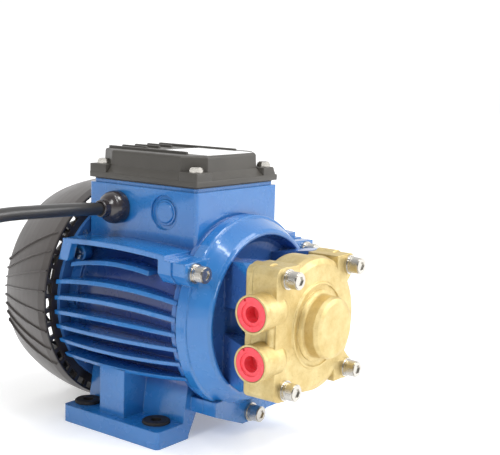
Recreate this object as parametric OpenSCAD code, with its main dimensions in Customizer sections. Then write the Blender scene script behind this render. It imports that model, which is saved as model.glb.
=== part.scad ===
// Coolant circulation pump: a small foot-mounted motor with a brass pump head.
// The shaft runs along Y, the pump head faces -Y, both ports face -X and +Z is up.
// The origin is the middle of the foot bolt pattern, on the mounting plane.

/* [Motor] */
// Height of the shaft above the mounting plane
shaft_h = 77.5; // [77:0.5:80]
// Length of the motor barrel
barrel_len = 95; // [94:0.5:97]
// Outside radius of the barrel under the fins
barrel_r = 55; // [54:0.5:56]
// Outside radius of the stator
stator_r = 50; // [49:0.5:50.5]
// Radius of the fin tips at the rear
fin_r = 69; // [68:0.5:70]
// Long fins on each side
fin_count = 6; // [5:1:6]
// Distance from fin to fin
fin_pitch = 10.8; // [10.6:0.1:11]
// Thickness of a fin
fin_t = 2.6; // [2.2:0.1:3]

/* [Feet] */
// Bolt holes from side to side
bolt_across = 100; // [99:1:102]
// Bolt holes from front to back
bolt_along = 60; // [58:1:61]
// Width over both feet
foot_w = 128.5; // [127:0.5:132]
// Length of a foot
foot_len = 82.5; // [81:0.5:84]
// Thickness of a foot plate
foot_t = 11; // [10:0.5:12]
// Radius of a foot bolt hole
foot_hole_r = 4.5; // [4.3:0.1:4.8]

/* [Terminal box] */
// Width of the box and its lid
box_w = 80; // [78:1:82]
// Height of the box edge above the shaft
box_rise = 76; // [75:0.5:78]
// Height of the lid dome
lid_h = 18; // [16:0.5:19]

/* [Pump head] */
// Distance between the casing screws
screw_pitch = 65; // [64:0.5:66]
// Radius of the casing disc
casing_r = 40.5; // [40:0.5:41.5]
// Depth of the casing
casing_depth = 17.5; // [17:0.5:19]
// Distance between the two ports
port_pitch = 28.6; // [28.2:0.2:29.4]
// Radius of a port boss
port_r = 10.9; // [10.7:0.1:11.2]
// Distance from the shaft plane to the port mouths
port_reach = 54.5; // [52:0.5:57]
// Radius of the front dome
dome_r = 18.8; // [18:0.2:20]
// Height of the front dome
dome_h = 13; // [12:0.5:14]

/* [Fan cover] */
// Outside radius of the fan cover
cover_r = 76; // [75:0.5:76.5]
// Length of the fan cover
cover_len = 47.5; // [46:0.5:50]
// Windows in the front ring
window_count = 48; // [40:1:50]

/* [Cord] */
// Outside diameter of the supply cord
cord_d = 8; // [7.8:0.1:8]

/* [Hidden] */
$fn = 96;
round_fn = 48;
hex_fn = 6;
tiny = 0.001;
through = 1;
fit_gap = 0.05;
run_gap = 0.05;
move_gap = 0.3;
half_turn = 180;
quarter_turn = 90;
full_turn = 360;
round_share = 0.29;
edge_share = [[0, 1], [0.29, 0.29], [1, 0]];

// Stations along the shaft, all counted from the rear face of the barrel
rear_y = 41;
joint_y = rear_y - barrel_len;
bracket_depth = 19.5;
rim_y = joint_y - bracket_depth;
pillar_reach = 37;
plate_y = joint_y - pillar_reach;
plate_t = 4.5;
casing_y = plate_y - plate_t;
face_y = casing_y - casing_depth;
stack_len = 55;
stack_y0 = joint_y + 19;
stack_y1 = stack_y0 + stack_len;

// Motor barrel and its fins
flange_r = 57.5;
flange_t = 5;
bead_r = 60.5;
rear_ring_t = 8;
rear_ring_r = 57;
fin_top = 17.5;
fin_front_r = bead_r + 0.4;
fin_sag_share = [0.09, 0.07, 0.034, 0, -0.03, -0.04];
arch_half = 50;
arch_mid_y = rear_y - barrel_len / 2 + 2;
fin_belly_share = [[0, 0], [0.17, 0.4], [0.43, 0.82], [0.7, 1], [1, 1]];
short_fin_z = 30;
short_fin_sag = 8.5;
short_fin_r = 66;
short_fin_y0 = joint_y + 23.5;

// Side rails with their pockets
rail_x = 65.5;
rail_in_x = 34;
rail_z = 42.1;
rail_t = 3.2;
rail_sag = 2.5;
rail_y1 = rear_y - 4;
rail_root_z = 30;
ear_y0 = joint_y;
ear_len = 10;
post_top_y = rear_y - 12;
post_low_y = rear_y - 8;
post_low_z = 28;
post_in_x = 60;

// Ears of the three tie screws
tie_r = 64.5;
tie_angle = 30;
tie_shank_r = 3;
tie_reach = 20;
ear_top_z = 40.5;
ear_drop = 1.6;
ear_side_z = 30.8;
ear_low_z = 25.4;
ear_in_z = 18;
ear_side_x = 61;
lug_half = 34;
lug_flat = 7;
lug_low = tie_r + 6.3;
lug_side_low = 60;
lug_side_high = 51;
bracket_ear_t = 10;

// Feet
foot_mid_y = -3;
foot_y0 = foot_mid_y - foot_len / 2;
foot_corner = 3;
leg_foot_x = 37;
leg_out_x = 41;
leg_wall_x = 37.5;
leg_in_x = 26.5;
leg_in_z = 20;
leg_root_x = 20;
leg_root_z = 27;
leg_top_z = 44;
leg_bend_z = 34;
block_x = 58;
block_y0 = -10;
block_len = 21;
block_top = shaft_h + fin_top - (fin_count - 1) * fin_pitch;

// Terminal box
box_y0 = joint_y + 3;
box_len = barrel_len - 4;
box_mid_y = box_y0 + box_len / 2;
box_corner = 2.5;
box_wall = 3.5;
box_low_z = 28;
neck_in = 2;
neck_h = 2.2;
gasket_h = 0.8;
gasket_w = 3;
lid_z = shaft_h + box_rise + neck_h + gasket_h;
knock_z = shaft_h + 62;
knock_half = 19.5;
knock_r = 10.7;
knock_disc_r = 8;
knock_depth = 2;
knock_lift = 1.2;
gland_y = box_mid_y + knock_half;
gland_hole_r = 8;
lead_hole_r = 7;
post_r = 5;
lid_screw_in = 6.6;
lid_screw_r = 2.1;
lid_hole_r = lid_screw_r + move_gap;

// Bearing bracket
spigot_r = stator_r - 0.02;
spigot_len = 3;
spigot_wall = 3.5;
dish_r = 48;
dish_round = 3.5;
dish_floor_y = joint_y - 11;
dish_t = 5.5;
skin_share = [[1, 0], [1, 0.34], [0.94, 0.375], [0.83, 0.385], [0.69, 0.51], [0.36, 0.77], [0.16, 0.92]];
rim_r = 51.7;
rim_t = 2.4;
rim_round = 0.6;
hub_r = 23;
hub_front_y = joint_y - 19;
hub_bore_r = 12;
hub_round = 2.5;
bracket_ear_in = 1;
bearing_lip = 5;
pillar_in_x = 23;
pillar_out_x = 40;
pillar_low_z = 11;
pillar_top_z = 39.4;
pillar_root = [16, 28, 8, 36];

// Bearings: outer radius, bore radius, width
front_bearing = [17.5, 7.5, 11];
rear_bearing = [16, 6, 10];
front_bearing_y = joint_y - 17;
rear_bearing_y = rear_y - 5;
race_share = 0.2;
front_ball_count = 8;
rear_ball_count = 7;
cage_share = 0.3;
cage_t = 1.2;

// Shaft
shaft_core_r = 9;
shaft_pump_r = 6;
shaft_front_y = face_y + 3;
shaft_fan_r = 5;
shaft_rear_y = rear_y + 33;
shoulder_y = 3;
chamfer = 0.6;

// Rotor
air_gap = 0.4;
rotor_r = 27.4;
end_ring_r = 25;
end_ring_in_r = 15;
end_ring_t = 6;
rotor_fin_count = 10;
rotor_fin_t = 2;
rotor_fin_h = 4;
slot_count = 24;
slot_depth = 14;
slot_w = 4;
slot_mouth = 2;
slot_in_r = rotor_r + air_gap + 1.2;
winding_r = 44.5;
winding_in_r = 30.5;
winding_front_len = 15;
winding_rear_len = 12;
winding_edge = 4;

// Rear end shield
shield_t = 2.5;
shield_r = 64.6;
shield_hub_r = 21;
shield_spigot_len = 3;
shield_rib_count = 6;
shield_rib_t = 3;
shield_rib_h = 3.4;
shield_hole_r = 7.5;
shield_screw_r = 2;
shield_screw_ring = 56.5;
shield_rib_in = 6;

// Fan cover
cover_y = rear_y + shield_t;
cover_rim_r = cover_r - 1.2;
cover_wall = 2;
cover_in_r = 61;
cover_flange_t = 2.2;
window_in_r = 69.6;
window_out_r = 73.6;
window_bar = 3;
cover_drop = 8;
cover_edge = 3;
cover_steps = 8;
ridge_count = 8;
ridge_mid = 1;
ridge_front_step = 10.2;
ridge_rear_step = 5.4;
ridge_h = 1;
ridge_w = 0.9;
ridge_len_share = 0.97;
ridge_root = 10;
grille_hub_r = 12;
grille_ring_w = 2;
grille_ring_pitch = 9.4;
grille_ring_count = 5;
grille_spoke_count = 12;
grille_spoke_w = 2.2;
grille_t = 2.4;
cover_post_ring = 60;
cover_post_r = 4.2;
cover_screw_r = 2;
cover_screw_angle = 45;
cover_screw_sink = 3;

// Cooling fan
fan_y0 = rear_y + 12;
fan_hub_r = 10;
fan_disc_r = 30;
fan_disc_t = 2;
fan_r = 40;
fan_w = 16;
fan_blade_count = 7;
fan_blade_t = 1.8;
fan_hub_len = 18;
circlip_t = 1;
circlip_r = 7;
clip_pump_r = 8.5;

// Pump head
lobe_r = 7.8;
lobe_front_r = 7;
neck_half = lobe_front_r - 0.4;
shoulder_x = 20;
left_out = 9.5;
left_x = screw_pitch / 2 + left_out;
left_corner = 5;
left_depth = 14;
cavity_r = 33.4;
cavity_depth = 9.2;
step_r = 26.2;
step_h = 1.2;
groove_r = 24.6;
groove_in_r = 21.6;
groove_depth = 0.9;
dome_wall = 5;
dome_edge = 3.5;
dome_foot = 2;
split_y = casing_y - 8;
split_lip = 0.8;
casing_soft = 4.6;
casing_round = 0.6;
spot_gap = 0.4;
rib_y = face_y + 4;
duct_reach = 4;
side_rib_w = 2;
side_rib_out = 2.4;
side_rib_len = 9;
column_x = 41;
column_r = 3;
port_y = casing_y - 9.2;
port_bore_r = 8.33;
port_bore_depth = 12.5;
port_mouth_r = 10.1;
port_mouth_depth = 1.4;
port_duct_r = 5.5;
port_root_x = 31;
port_root_soft = 4;
port_collar_len = 4;
port_collar_lift = 0.35;
ring_groove_r = 36.9;
ring_cord_r = 1;
seal_hub_r = 19;
seal_hub_len = 8;
seal_bore_r = 13;
seal_lip_r = 6.6;
seal_lip_t = 1.6;

// Impeller
impeller_r = 33;
impeller_t = 8;
impeller_web_r = 26;
vane_count = 36;
vane_t = 1.2;
impeller_hub_r = 11;
impeller_side_gap = 0.4;
impeller_hub_out = 1.5;
key_w = 4;
key_h = 2.4;
key_len = 9;
key_y = shaft_front_y + 5.2;

// Seal, slinger and small rings
seat_r = 12.95;
seat_t = 3.5;
seal_ring_r = 10;
seal_nose_t = 2;
seal_ring_t = 3.5;
seal_bore_gap = 0.6;
slinger_r = 10;
slinger_t = 2.4;
slinger_y = joint_y - 27;
wave_t = 1.4;
wave_w = 3.2;

// Screws: shank radius, head radius, head height, socket radius
m6 = [3, 5, 6, 2.9];
m6_washer_r = 6;
m6_washer_t = 1.6;
m6_spring_r = 5.2;
m6_spring_slot = 1.2;
m6_socket_depth = 3.2;
m6_knurl_edge = 0.5;
casing_screw_len = 34;
screw_end_y = face_y - 2 * m6_washer_t + casing_screw_len;
pan_r = 4.4;
pan_h = 3.2;
pan_share = [[1, 0.55], [0.9, 0.85], [0.7, 1]];
slot_pan_r = pan_r - 0.8;
slot_pan_h = 2.2;
cross_w = 1.1;
cross_len = 5.2;
cross_depth = 1.6;
lid_screw_len = 14;

// Lid
lid_flange_t = 4.6;
lid_pad = 14.5;
lid_pad_t = 8.7;
lid_in = 4;
lid_cut = 12;
lid_wall = 2.4;
lid_edge = 1.4;
lid_slope = 2.2;
lid_rib_h = 1.6;
lid_rib_w = 2.2;
lid_rib_x_share = [-0.66, -0.33, 0, 0.33, 0.66];
lid_rib_long = 74;
lid_rib_short = 22;
lid_rib_front = 5;
label_t = 0.6;
label_w = 44;
label_len = 45;
label_front = 3.5;

// Gland
gland_len = 16.5;
gland_r = 10.4;
gland_stop = 3;
gland_in_r = 9.4;
gland_in_t = 2;
gland_arc_share = [
    [0, 0.97], [0.1, 1], [0.24, 1], [0.4, 0.96], [0.54, 0.86], [0.64, 0.72], [0.7, 0.58], [1, 0.52]
];

// Things in the terminal box
board_w = 46;
board_len = 34;
board_t = 6;
board_leg_h = 4;
board_z = shaft_h + barrel_r + board_leg_h;
board_wall_t = 2;
board_wall_h = 5;
stud_r = 2;
stud_h = 9;
stud_nut_r = 3.8;
stud_nut_h = 2.4;
stud_pitch_x = 14;
stud_pitch_y = 17;
board_leg_r = 4;

// Foot grommets
grommet_r = 8.6;
grommet_head_t = 1.8;
grommet_edge = 0.5;
grommet_bore_r = 3.3;
grommet_len = foot_t;

// Nameplate on the far side
plate_x = 65.5;
plate_z = shaft_h - 1;
plate_h = 40;
plate_len = 54;
plate_mid_y = rear_y - 36.5;
plate_sheet_t = 0.8;
rivet_r = 1.6;
rivet_head_r = 2.8;
rivet_head_h = 1;
rivet_in = 4;
rivet_boss_r = 4;
rivet_depth = 6;

// Earth screw in the rail pocket
earth_y = rear_y - 9.5;
earth_z = 32;
earth_x = 56;
earth_r = 3.6;
earth_h = 2.4;
earth_shank_r = 1.9;
earth_len = 7;
earth_boss_r = 5;

// Transport plugs
cap_flange_r = port_mouth_r - move_gap;
cap_flange_t = 1.3;
cap_r = port_bore_r - move_gap;
cap_len = 11.5;
cap_recess_r = 4.75;
cap_recess = 9;
cap_step_r = 7;
cap_step = 0.9;
cap_notch = 1.6;

// Cord route in the plane of the gland: distance from the box side, height
cord_r = cord_d / 2;
lead_points = [
    [0, 139.5], [24, 141], [49, 142], [74, 142.5], [97, 140.5],
    [117, 132], [131, 116], [140, 95], [146, 72], [153, 49],
    [165, 30], [183, 17.5], [205, 12.5]
];
lead_steps = 3;
lead_sides = 10;
coil_x = -(box_w / 2 + gland_len + lead_points[len(lead_points) - 1][0]);
coil_r = 45;
coil_turns = 2;
coil_pitch = 8.6;
layer_rise = 8.5;
half_loop = 0.5;
ramp_rate = 1.2;
gap_step = 3;
gap_skip = 12;
flat_mesh = 10;
coil_rings = 24;
coil_sides = 6;
tail_len = 60;
tail_rings = 6;
mains_r = 16;
mains_z = 16.2;
mains_len = 34;
mains_neck_len = 18;
pin_r = 2.4;
pin_len = 19;
pin_half = 9.5;
pin_edge = 0.6;
plug_share = [
    [0.36, 0], [0.41, 0.17], [0.62, 0.28], [0.86, 0.35], [0.95, 0.45], [1, 0.54], [1, 0.98], [0.94, 1]
];

// Shapes that lie along the axes
module at_shaft() {
    translate([0, 0, shaft_h]) children();
}

module rod_y(y0, y1, r, sides = 0) {
    translate([0, y0, 0])
        rotate([-quarter_turn, 0, 0])
            cylinder(h = y1 - y0, r = r, $fn = sides > 0 ? sides : $fn);
}

module rod_x(x0, x1, r) {
    translate([x0, 0, 0])
        rotate([0, quarter_turn, 0])
            cylinder(h = x1 - x0, r = r);
}

module rod_z(z0, z1, r) {
    translate([0, 0, z0])
        cylinder(h = z1 - z0, r = r);
}

module ring_y(y0, y1, r_out, r_in) {
    difference() {
        rod_y(y0, y1, r_out);
        rod_y(y0 - through, y1 + through, r_in);
    }
}

module turned(profile) {
    rotate([-quarter_turn, 0, 0])
        rotate_extrude()
            polygon(profile);
}

module block(x0, x1, y0, y1, z0, z1) {
    translate([x0, y0, z0])
        cube([x1 - x0, y1 - y0, z1 - z0]);
}

// A flat shape drawn in x and z, given depth along y
module slab_y(y0, y1, outline) {
    translate([0, y1, 0])
        rotate([quarter_turn, 0, 0])
            linear_extrude(height = y1 - y0)
                polygon(outline);
}

// A flat shape drawn in y and z, given depth along x
module slab_x(x0, x1, outline) {
    translate([x0, 0, 0])
        rotate([quarter_turn, 0, quarter_turn])
            linear_extrude(height = x1 - x0)
                polygon(outline);
}

module round_rect(w, l, r) {
    square([w - 2 * r, l], center = true);
    square([w, l - 2 * r], center = true);
    for (sx = [-1, 1])
        for (sy = [-1, 1])
            translate([sx * (w / 2 - r), sy * (l / 2 - r)])
                circle(r = r, $fn = round_fn);
}

module both_sides() {
    children();
    mirror([1, 0, 0]) children();
}

// A plate whose height follows a long arc from front to rear
module arched_plate(z, sag, y0, y1, x0, x1, t) {
    if (abs(sag) < tiny) {
        block(x0, x1, y0, y1, z - t / 2, z + t / 2);
    } else {
        r = (arch_half * arch_half + sag * sag) / (2 * abs(sag));
        way = sign(sag);
        low = way > 0 ? z - 2 * sag - t : z - t;
        intersection() {
            translate([0, arch_mid_y, z - way * r])
                difference() {
                    rod_x(x0, x1, r + t / 2);
                    rod_x(x0 - through, x1 + through, r - t / 2);
                }
            block(x0, x1, y0, y1, low, low + 2 * abs(sag) + 2 * t);
        }
    }
}

module at_pillars() {
    for (sx = [-1, 1])
        for (sz = [-1, 1])
            translate([sx * screw_pitch / 2, 0, sz * screw_pitch / 2])
                children();
}

module at_ties() {
    for (a = [tie_angle, half_turn - tie_angle, -quarter_turn])
        translate([tie_r * cos(a), 0, tie_r * sin(a)])
            children();
}

function fin_height(i) = fin_top - i * fin_pitch;

// Three points of a rounded corner at c, with the ways along its two sides
function soft_corner(c, a, b) = [c + a, c + round_share * (a + b), c + b];

// Motor housing
module fin_envelope() {
    len_y = rear_y - joint_y;
    rise = fin_r - fin_front_r;
    edge = [for (s = fin_belly_share) [fin_front_r + rise * s[1], joint_y + len_y * s[0]]];
    turned(concat([[0, joint_y]], edge, [[0, rear_y]]));
}

module fins() {
    intersection() {
        union() {
            for (i = [0 : fin_count - 1])
                arched_plate(fin_height(i), fin_sag_share[i] * arch_half,
                    joint_y + move_gap, rear_y, -fin_r, fin_r, fin_t);
            arched_plate(short_fin_z, short_fin_sag, short_fin_y0, rear_y - ear_len,
                -short_fin_r, short_fin_r, fin_t);
        }
        fin_envelope();
    }
}

module side_rail() {
    arched_plate(rail_z, rail_sag, joint_y + ear_len / 2, rail_y1, rail_in_x, rail_x, rail_t);
    slab_x(post_in_x, rail_x, [
        [post_top_y, rail_z - rail_sag], [rail_y1, rail_z - rail_sag],
        [rear_y, post_low_z], [post_low_y, post_low_z]
    ]);
    slab_y(ear_y0, ear_y0 + ear_len, ear_outline());
}

function ear_outline() = [
    [rail_in_x, rail_root_z], [rail_in_x, ear_top_z + tiny], [rail_x, ear_top_z - ear_drop],
    [rail_x, ear_side_z], [ear_side_x, ear_low_z], [box_w / 2 + box_corner, ear_in_z]
];

function lug_outline() = [
    [-lug_half, -lug_side_high], [-lug_half, -lug_side_low], [-lug_flat, -lug_low],
    [lug_flat, -lug_low], [lug_half, -lug_side_low], [lug_half, -lug_side_high]
];

module foot_side() {
    hole_x = bolt_across / 2;
    plate_w = foot_w / 2 - leg_foot_x + foot_corner;
    difference() {
        union() {
            translate([foot_w / 2 - plate_w / 2, foot_mid_y, 0])
                linear_extrude(height = foot_t)
                    round_rect(plate_w, foot_len, foot_corner);
            slab_y(foot_y0, foot_y0 + foot_len, [
                [leg_out_x, 0], [leg_foot_x, 0], [leg_in_x, leg_in_z], [leg_root_x, leg_root_z],
                [leg_in_x, leg_top_z], [leg_wall_x, leg_top_z], [leg_wall_x, leg_bend_z], [leg_out_x, foot_t]
            ]);
            block(leg_in_x, block_x, block_y0, block_y0 + block_len, foot_t - through, block_top);
        }
        for (s = [-1, 1])
            translate([hole_x, s * bolt_along / 2, 0])
                rod_z(-through, foot_t + through, foot_hole_r);
    }
}

module knockout_cut() {
    difference() {
        rod_x(box_w / 2 - knock_depth, box_w / 2 + through, knock_r);
        rod_x(box_w / 2 - knock_depth - through, box_w / 2 - knock_lift, knock_disc_r);
    }
}

module box_shell() {
    top = box_rise;
    translate([0, box_mid_y, box_low_z])
        linear_extrude(height = top - box_low_z)
            round_rect(box_w, box_len, box_corner);
    translate([0, box_mid_y, top - through])
        linear_extrude(height = neck_h + through)
            round_rect(box_w - 2 * neck_in, box_len - 2 * neck_in, box_corner);
}

module box_hollow() {
    w = box_w - 2 * neck_in - 2 * box_wall;
    l = box_len - 2 * neck_in - 2 * box_wall;
    difference() {
        translate([-w / 2, box_mid_y - l / 2, barrel_r - ear_len])
            cube([w, l, box_rise]);
        rod_y(joint_y, rear_y, barrel_r);
        for (sx = [-1, 1])
            for (sy = [-1, 1])
                translate([sx * (box_w / 2 - lid_screw_in), box_mid_y + sy * (box_len / 2 - lid_screw_in), 0])
                    rod_z(0, box_rise + neck_h, post_r);
    }
}

module at_lid_screws() {
    for (sx = [-1, 1])
        for (sy = [-1, 1])
            translate([sx * (box_w / 2 - lid_screw_in), box_mid_y + sy * (box_len / 2 - lid_screw_in), 0])
                children();
}

module plate_flat() {
    block(plate_x, fin_r + through, plate_mid_y - plate_len / 2 - 1, plate_mid_y + plate_len / 2 + 1,
        plate_z - shaft_h - plate_h / 2 - 1, plate_z - shaft_h + plate_h / 2 + 1);
}

module at_rivets() {
    for (s = [-1, 1])
        translate([0, plate_mid_y + s * (plate_len / 2 - rivet_in), plate_z - shaft_h])
            children();
}

module motor_housing() {
    color("#3f74b8")
        difference() {
            union() {
                at_shaft() {
                    difference() {
                        union() {
                            rod_y(joint_y, rear_y, barrel_r);
                            rod_y(joint_y, joint_y + flange_t, flange_r);
                            rod_y(rear_y - rear_ring_t, rear_y, rear_ring_r);
                            difference() {
                                fins();
                                plate_flat();
                            }
                            both_sides() side_rail();
                            slab_y(joint_y, joint_y + ear_len, lug_outline());
                            box_shell();
                            at_rivets() rod_x(barrel_r - rivet_depth, plate_x, rivet_boss_r);
                            translate([0, earth_y, earth_z])
                                rod_x(-earth_x, -stator_r, earth_boss_r);
                        }
                        box_hollow();
                        rod_y(joint_y - through, rear_y + through, stator_r);
                    }
                }
                both_sides()
                    difference() {
                        foot_side();
                        at_shaft() rod_y(foot_y0 - through, foot_y0 + foot_len + through, stator_r);
                    }
            }
            at_shaft() {
                at_ties()
                    rod_y(joint_y - through, joint_y + ear_len - tie_shank_r, tie_shank_r + fit_gap);
                at_lid_screws() rod_z(box_rise - lid_screw_len, box_rise + neck_h + through, lid_screw_r);
                at_rivets() rod_x(plate_x - rivet_depth, plate_x + through, rivet_r + fit_gap);
                translate([0, gland_y, knock_z - shaft_h])
                    rod_x(-box_w / 2 - through, -box_w / 2 + neck_in + box_wall + through,
                        gland_hole_r + fit_gap);
                for (y = [box_mid_y - knock_half, box_mid_y + knock_half])
                    translate([0, y, knock_z - shaft_h]) knockout_cut();
                translate([0, box_mid_y - knock_half, knock_z - shaft_h])
                    mirror([1, 0, 0]) knockout_cut();
                translate([0, earth_y, earth_z])
                    rod_x(-earth_x - through, -earth_x + earth_len, earth_shank_r + fit_gap);
                translate([0, box_mid_y, 0]) rod_z(stator_r - ear_len, barrel_r + through, lead_hole_r);
                at_shield_screws() rod_y(rear_y - earth_len, rear_y + through, shield_screw_r + fit_gap);
            }
        }
}

// Bearing bracket
module bracket_body() {
    skin = [for (s = skin_share) [rim_r + (bead_r - rim_r) * s[0], joint_y - bracket_depth * s[1]]];
    turned(concat(
        [[spigot_r - spigot_wall, joint_y + spigot_len],
        [spigot_r, joint_y + spigot_len], [spigot_r, joint_y]],
        skin,
        soft_corner([rim_r, rim_y], [0, rim_round], [-rim_round, 0]),
        soft_corner([rim_r - rim_t, rim_y], [rim_round, 0], [0, rim_round]),
        soft_corner([dish_r, dish_floor_y], [0, -dish_round], [-dish_round, 0]),
        soft_corner([hub_r, dish_floor_y], [hub_round, 0], [0, -hub_round]),
        [[hub_r - rim_round, hub_front_y], [hub_bore_r, hub_front_y],
        [hub_bore_r, front_bearing_y], [front_bearing[0], front_bearing_y],
        [front_bearing[0], joint_y - bearing_lip], [hub_r, joint_y - bearing_lip],
        [spigot_r - spigot_wall, dish_floor_y + dish_t]]
    ));
}

module pillar() {
    root_y = dish_floor_y + dish_t / 2;
    tip_r = screw_pitch / 2 * sqrt(2) + lobe_r;
    intersection() {
        slab_x(0, pillar_out_x, [
            [root_y, pillar_root[2]], [plate_y, pillar_low_z],
            [plate_y, pillar_top_z], [root_y, pillar_root[3]]
        ]);
        linear_extrude(height = pillar_top_z)
            polygon([
                [pillar_root[0], root_y], [pillar_in_x, plate_y],
                [pillar_out_x, plate_y], [pillar_root[1], root_y]
            ]);
        rod_y(plate_y, root_y, tip_r - fit_gap);
    }
}

module bearing_bracket() {
    color("#3f74b8")
        at_shaft()
            difference() {
                union() {
                    bracket_body();
                    for (sx = [0, 1])
                        mirror([sx, 0, 0])
                            for (sz = [0, 1])
                                mirror([0, 0, sz]) pillar();
                    both_sides() slab_y(joint_y - bracket_ear_t, joint_y, ear_outline_cut());
                    slab_y(joint_y - bracket_ear_t, joint_y, lug_outline());
                }
                rod_y(dish_floor_y + dish_t, joint_y + spigot_len + through, hub_r);
                rod_y(front_bearing_y, joint_y, front_bearing[0]);
                rod_y(hub_front_y - through, joint_y, hub_bore_r);
                at_ties()
                    rod_y(joint_y - bracket_ear_t - through, joint_y + through, tie_shank_r + move_gap);
                at_pillars() rod_y(plate_y - through, screw_end_y + 1, m6[0] + fit_gap);
                ring_y(joint_y - tiny, joint_y + spigot_len + through, bead_r + ear_len, spigot_r);
            }
}

function ear_outline_cut() = [
    [rail_in_x, rail_root_z], [rail_in_x + fin_t, ear_top_z - rim_round],
    [rail_x - bracket_ear_in, ear_top_z - ear_drop - rim_round], [rail_x - bracket_ear_in, ear_side_z],
    [ear_side_x - bracket_ear_in, ear_low_z], [box_w / 2 + box_corner, ear_in_z]
];

// Rear end shield
module at_shield_screws() {
    for (a = [0 : quarter_turn : full_turn - 1])
        rotate([0, a, 0])
            translate([shield_screw_ring, 0, 0])
                children();
}

module at_cover_screws() {
    for (a = [0 : quarter_turn : full_turn - 1])
        rotate([0, a + cover_screw_angle, 0])
            translate([cover_post_ring, 0, 0])
                children();
}

module rear_end_shield() {
    bearing_back = rear_bearing_y + rear_bearing[2];
    color("#9aa0a6")
        at_shaft()
            difference() {
                union() {
                    rod_y(rear_y, rear_y + shield_t, shield_r);
                    ring_y(rear_y - shield_spigot_len, rear_y + shield_t,
                        stator_r - fit_gap, stator_r - spigot_wall);
                    rod_y(rear_bearing_y - 1, bearing_back + 2, shield_hub_r);
                    for (k = [0 : shield_rib_count - 1])
                        rotate([0, k * full_turn / shield_rib_count + tie_angle, 0])
                            block(0, shield_screw_ring - shield_rib_in, rear_y + shield_t - tiny,
                                rear_y + shield_t + shield_rib_h, -shield_rib_t / 2, shield_rib_t / 2);
                }
                rod_y(rear_bearing_y - 2, bearing_back, rear_bearing[0]);
                rod_y(rear_y - shield_t, cover_y + ear_len, shield_hole_r);
                at_shield_screws() rod_y(rear_y - through, cover_y + through, shield_screw_r + move_gap);
                at_cover_screws() rod_y(rear_y - through, cover_y + through, cover_screw_r + fit_gap);
            }
}

module shield_screws() {
    color("#b9bcc0")
        at_shaft()
            at_shield_screws() {
                difference() {
                    rod_y(cover_y, cover_y + slot_pan_h, slot_pan_r);
                    block(-pan_r, pan_r, cover_y + slot_pan_h / 2, cover_y + pan_h,
                        -cross_w / 2, cross_w / 2);
                }
                rod_y(rear_y - earth_len + 1, cover_y + tiny, shield_screw_r);
            }
}

// Fan cover
function cover_taper(share) = cover_drop * share * share;

// Outline of the drum from front to rear, moved out by the given lift
function cover_outline(lift) = [
    for (k = [0 : cover_steps])
        [cover_r + lift - cover_taper(k / cover_steps), cover_y + (cover_len - cover_edge) * k / cover_steps]
];

module cover_shell_outer() {
    back = cover_y + cover_len;
    end_r = cover_r - cover_drop;
    turned(concat(
        [[0, cover_y], [cover_rim_r, cover_y]],
        [for (k = [1 : cover_steps - 1]) cover_outline(0)[k]],
        soft_corner([end_r, back], [0, -cover_edge], [-cover_edge, 0]),
        [[0, back]]
    ));
}

module cover_shell_inner() {
    back = cover_y + cover_len - grille_t;
    end_r = cover_r - cover_drop - cover_wall;
    turned(concat(
        [[0, cover_y + cover_flange_t], [cover_rim_r - cover_wall, cover_y + cover_flange_t]],
        [for (k = [1 : cover_steps - 1]) cover_outline(-cover_wall)[k]],
        soft_corner([end_r, back], [0, -cover_edge + grille_t / 2], [-cover_edge, 0]),
        [[0, back]]
    ));
}

module grille_cut() {
    back = cover_y + cover_len;
    difference() {
        for (k = [0 : grille_ring_count - 1])
            ring_y(back - grille_t - through, back + through, grille_hub_r + (k + 1) * grille_ring_pitch,
                grille_hub_r + k * grille_ring_pitch + grille_ring_w);
        for (k = [0 : grille_spoke_count - 1])
            rotate([0, k * full_turn / grille_spoke_count, 0])
                block(0, cover_r, back - grille_t - 2, back + 2, -grille_spoke_w / 2, grille_spoke_w / 2);
        at_cover_screws() rod_y(back - ear_len, back + 2, cover_post_r);
    }
}

module window_cuts() {
    arc = full_turn / window_count;
    bar = window_bar / window_out_r * half_turn / PI;
    for (k = [0 : window_count - 1])
        rotate([0, k * arc, 0])
            block(window_in_r, window_out_r, cover_y - through, cover_y + cover_flange_t + through,
                -window_out_r * sin((arc - bar) / 2), window_out_r * sin((arc - bar) / 2));
}

module ridges() {
    span = cover_len * ridge_len_share;
    for (k = [0 : ridge_count - 1]) {
        front = ridge_mid + (k - (ridge_count - 1) / 2) * ridge_front_step;
        back = ridge_mid + (k - (ridge_count - 1) / 2) * ridge_rear_step;
        mid = (front + back) / 2;
        run = cover_r * sin(front - back);
        rotate([0, -mid, 0])
            translate([cover_r - ridge_root, cover_y + span / 2, 0])
                rotate([-atan2(run, span), 0, 0])
                    translate([0, -span / 2, -ridge_w / 2])
                        cube([ridge_root + 2 * ridge_h, span, ridge_w]);
    }
}

module ridge_envelope() {
    turned(concat(
        [[0, cover_y + ridge_h / 2], [cover_r, cover_y + ridge_h / 2]],
        [for (k = [1 : cover_steps]) cover_outline(ridge_h)[k]],
        [[0, cover_y + cover_len - cover_edge]]
    ));
}

module fan_cover() {
    color("#2f2a29")
        at_shaft()
            difference() {
                union() {
                    difference() {
                        union() {
                            cover_shell_outer();
                            intersection() {
                                both_sides() ridges();
                                ridge_envelope();
                            }
                        }
                        cover_shell_inner();
                        rod_y(cover_y - through, cover_y + cover_flange_t + through, cover_in_r);
                    }
                    at_cover_screws()
                        rod_y(cover_y + cover_flange_t / 2, cover_y + cover_len - grille_t / 2, cover_post_r);
                }
                grille_cut();
                window_cuts();
                at_cover_screws() {
                    rod_y(cover_y - through, cover_y + cover_len + through, cover_screw_r + fit_gap);
                    rod_y(cover_y + cover_len - cover_screw_sink, cover_y + cover_len + through,
                        slot_pan_r + fit_gap);
                }
            }
}

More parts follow.
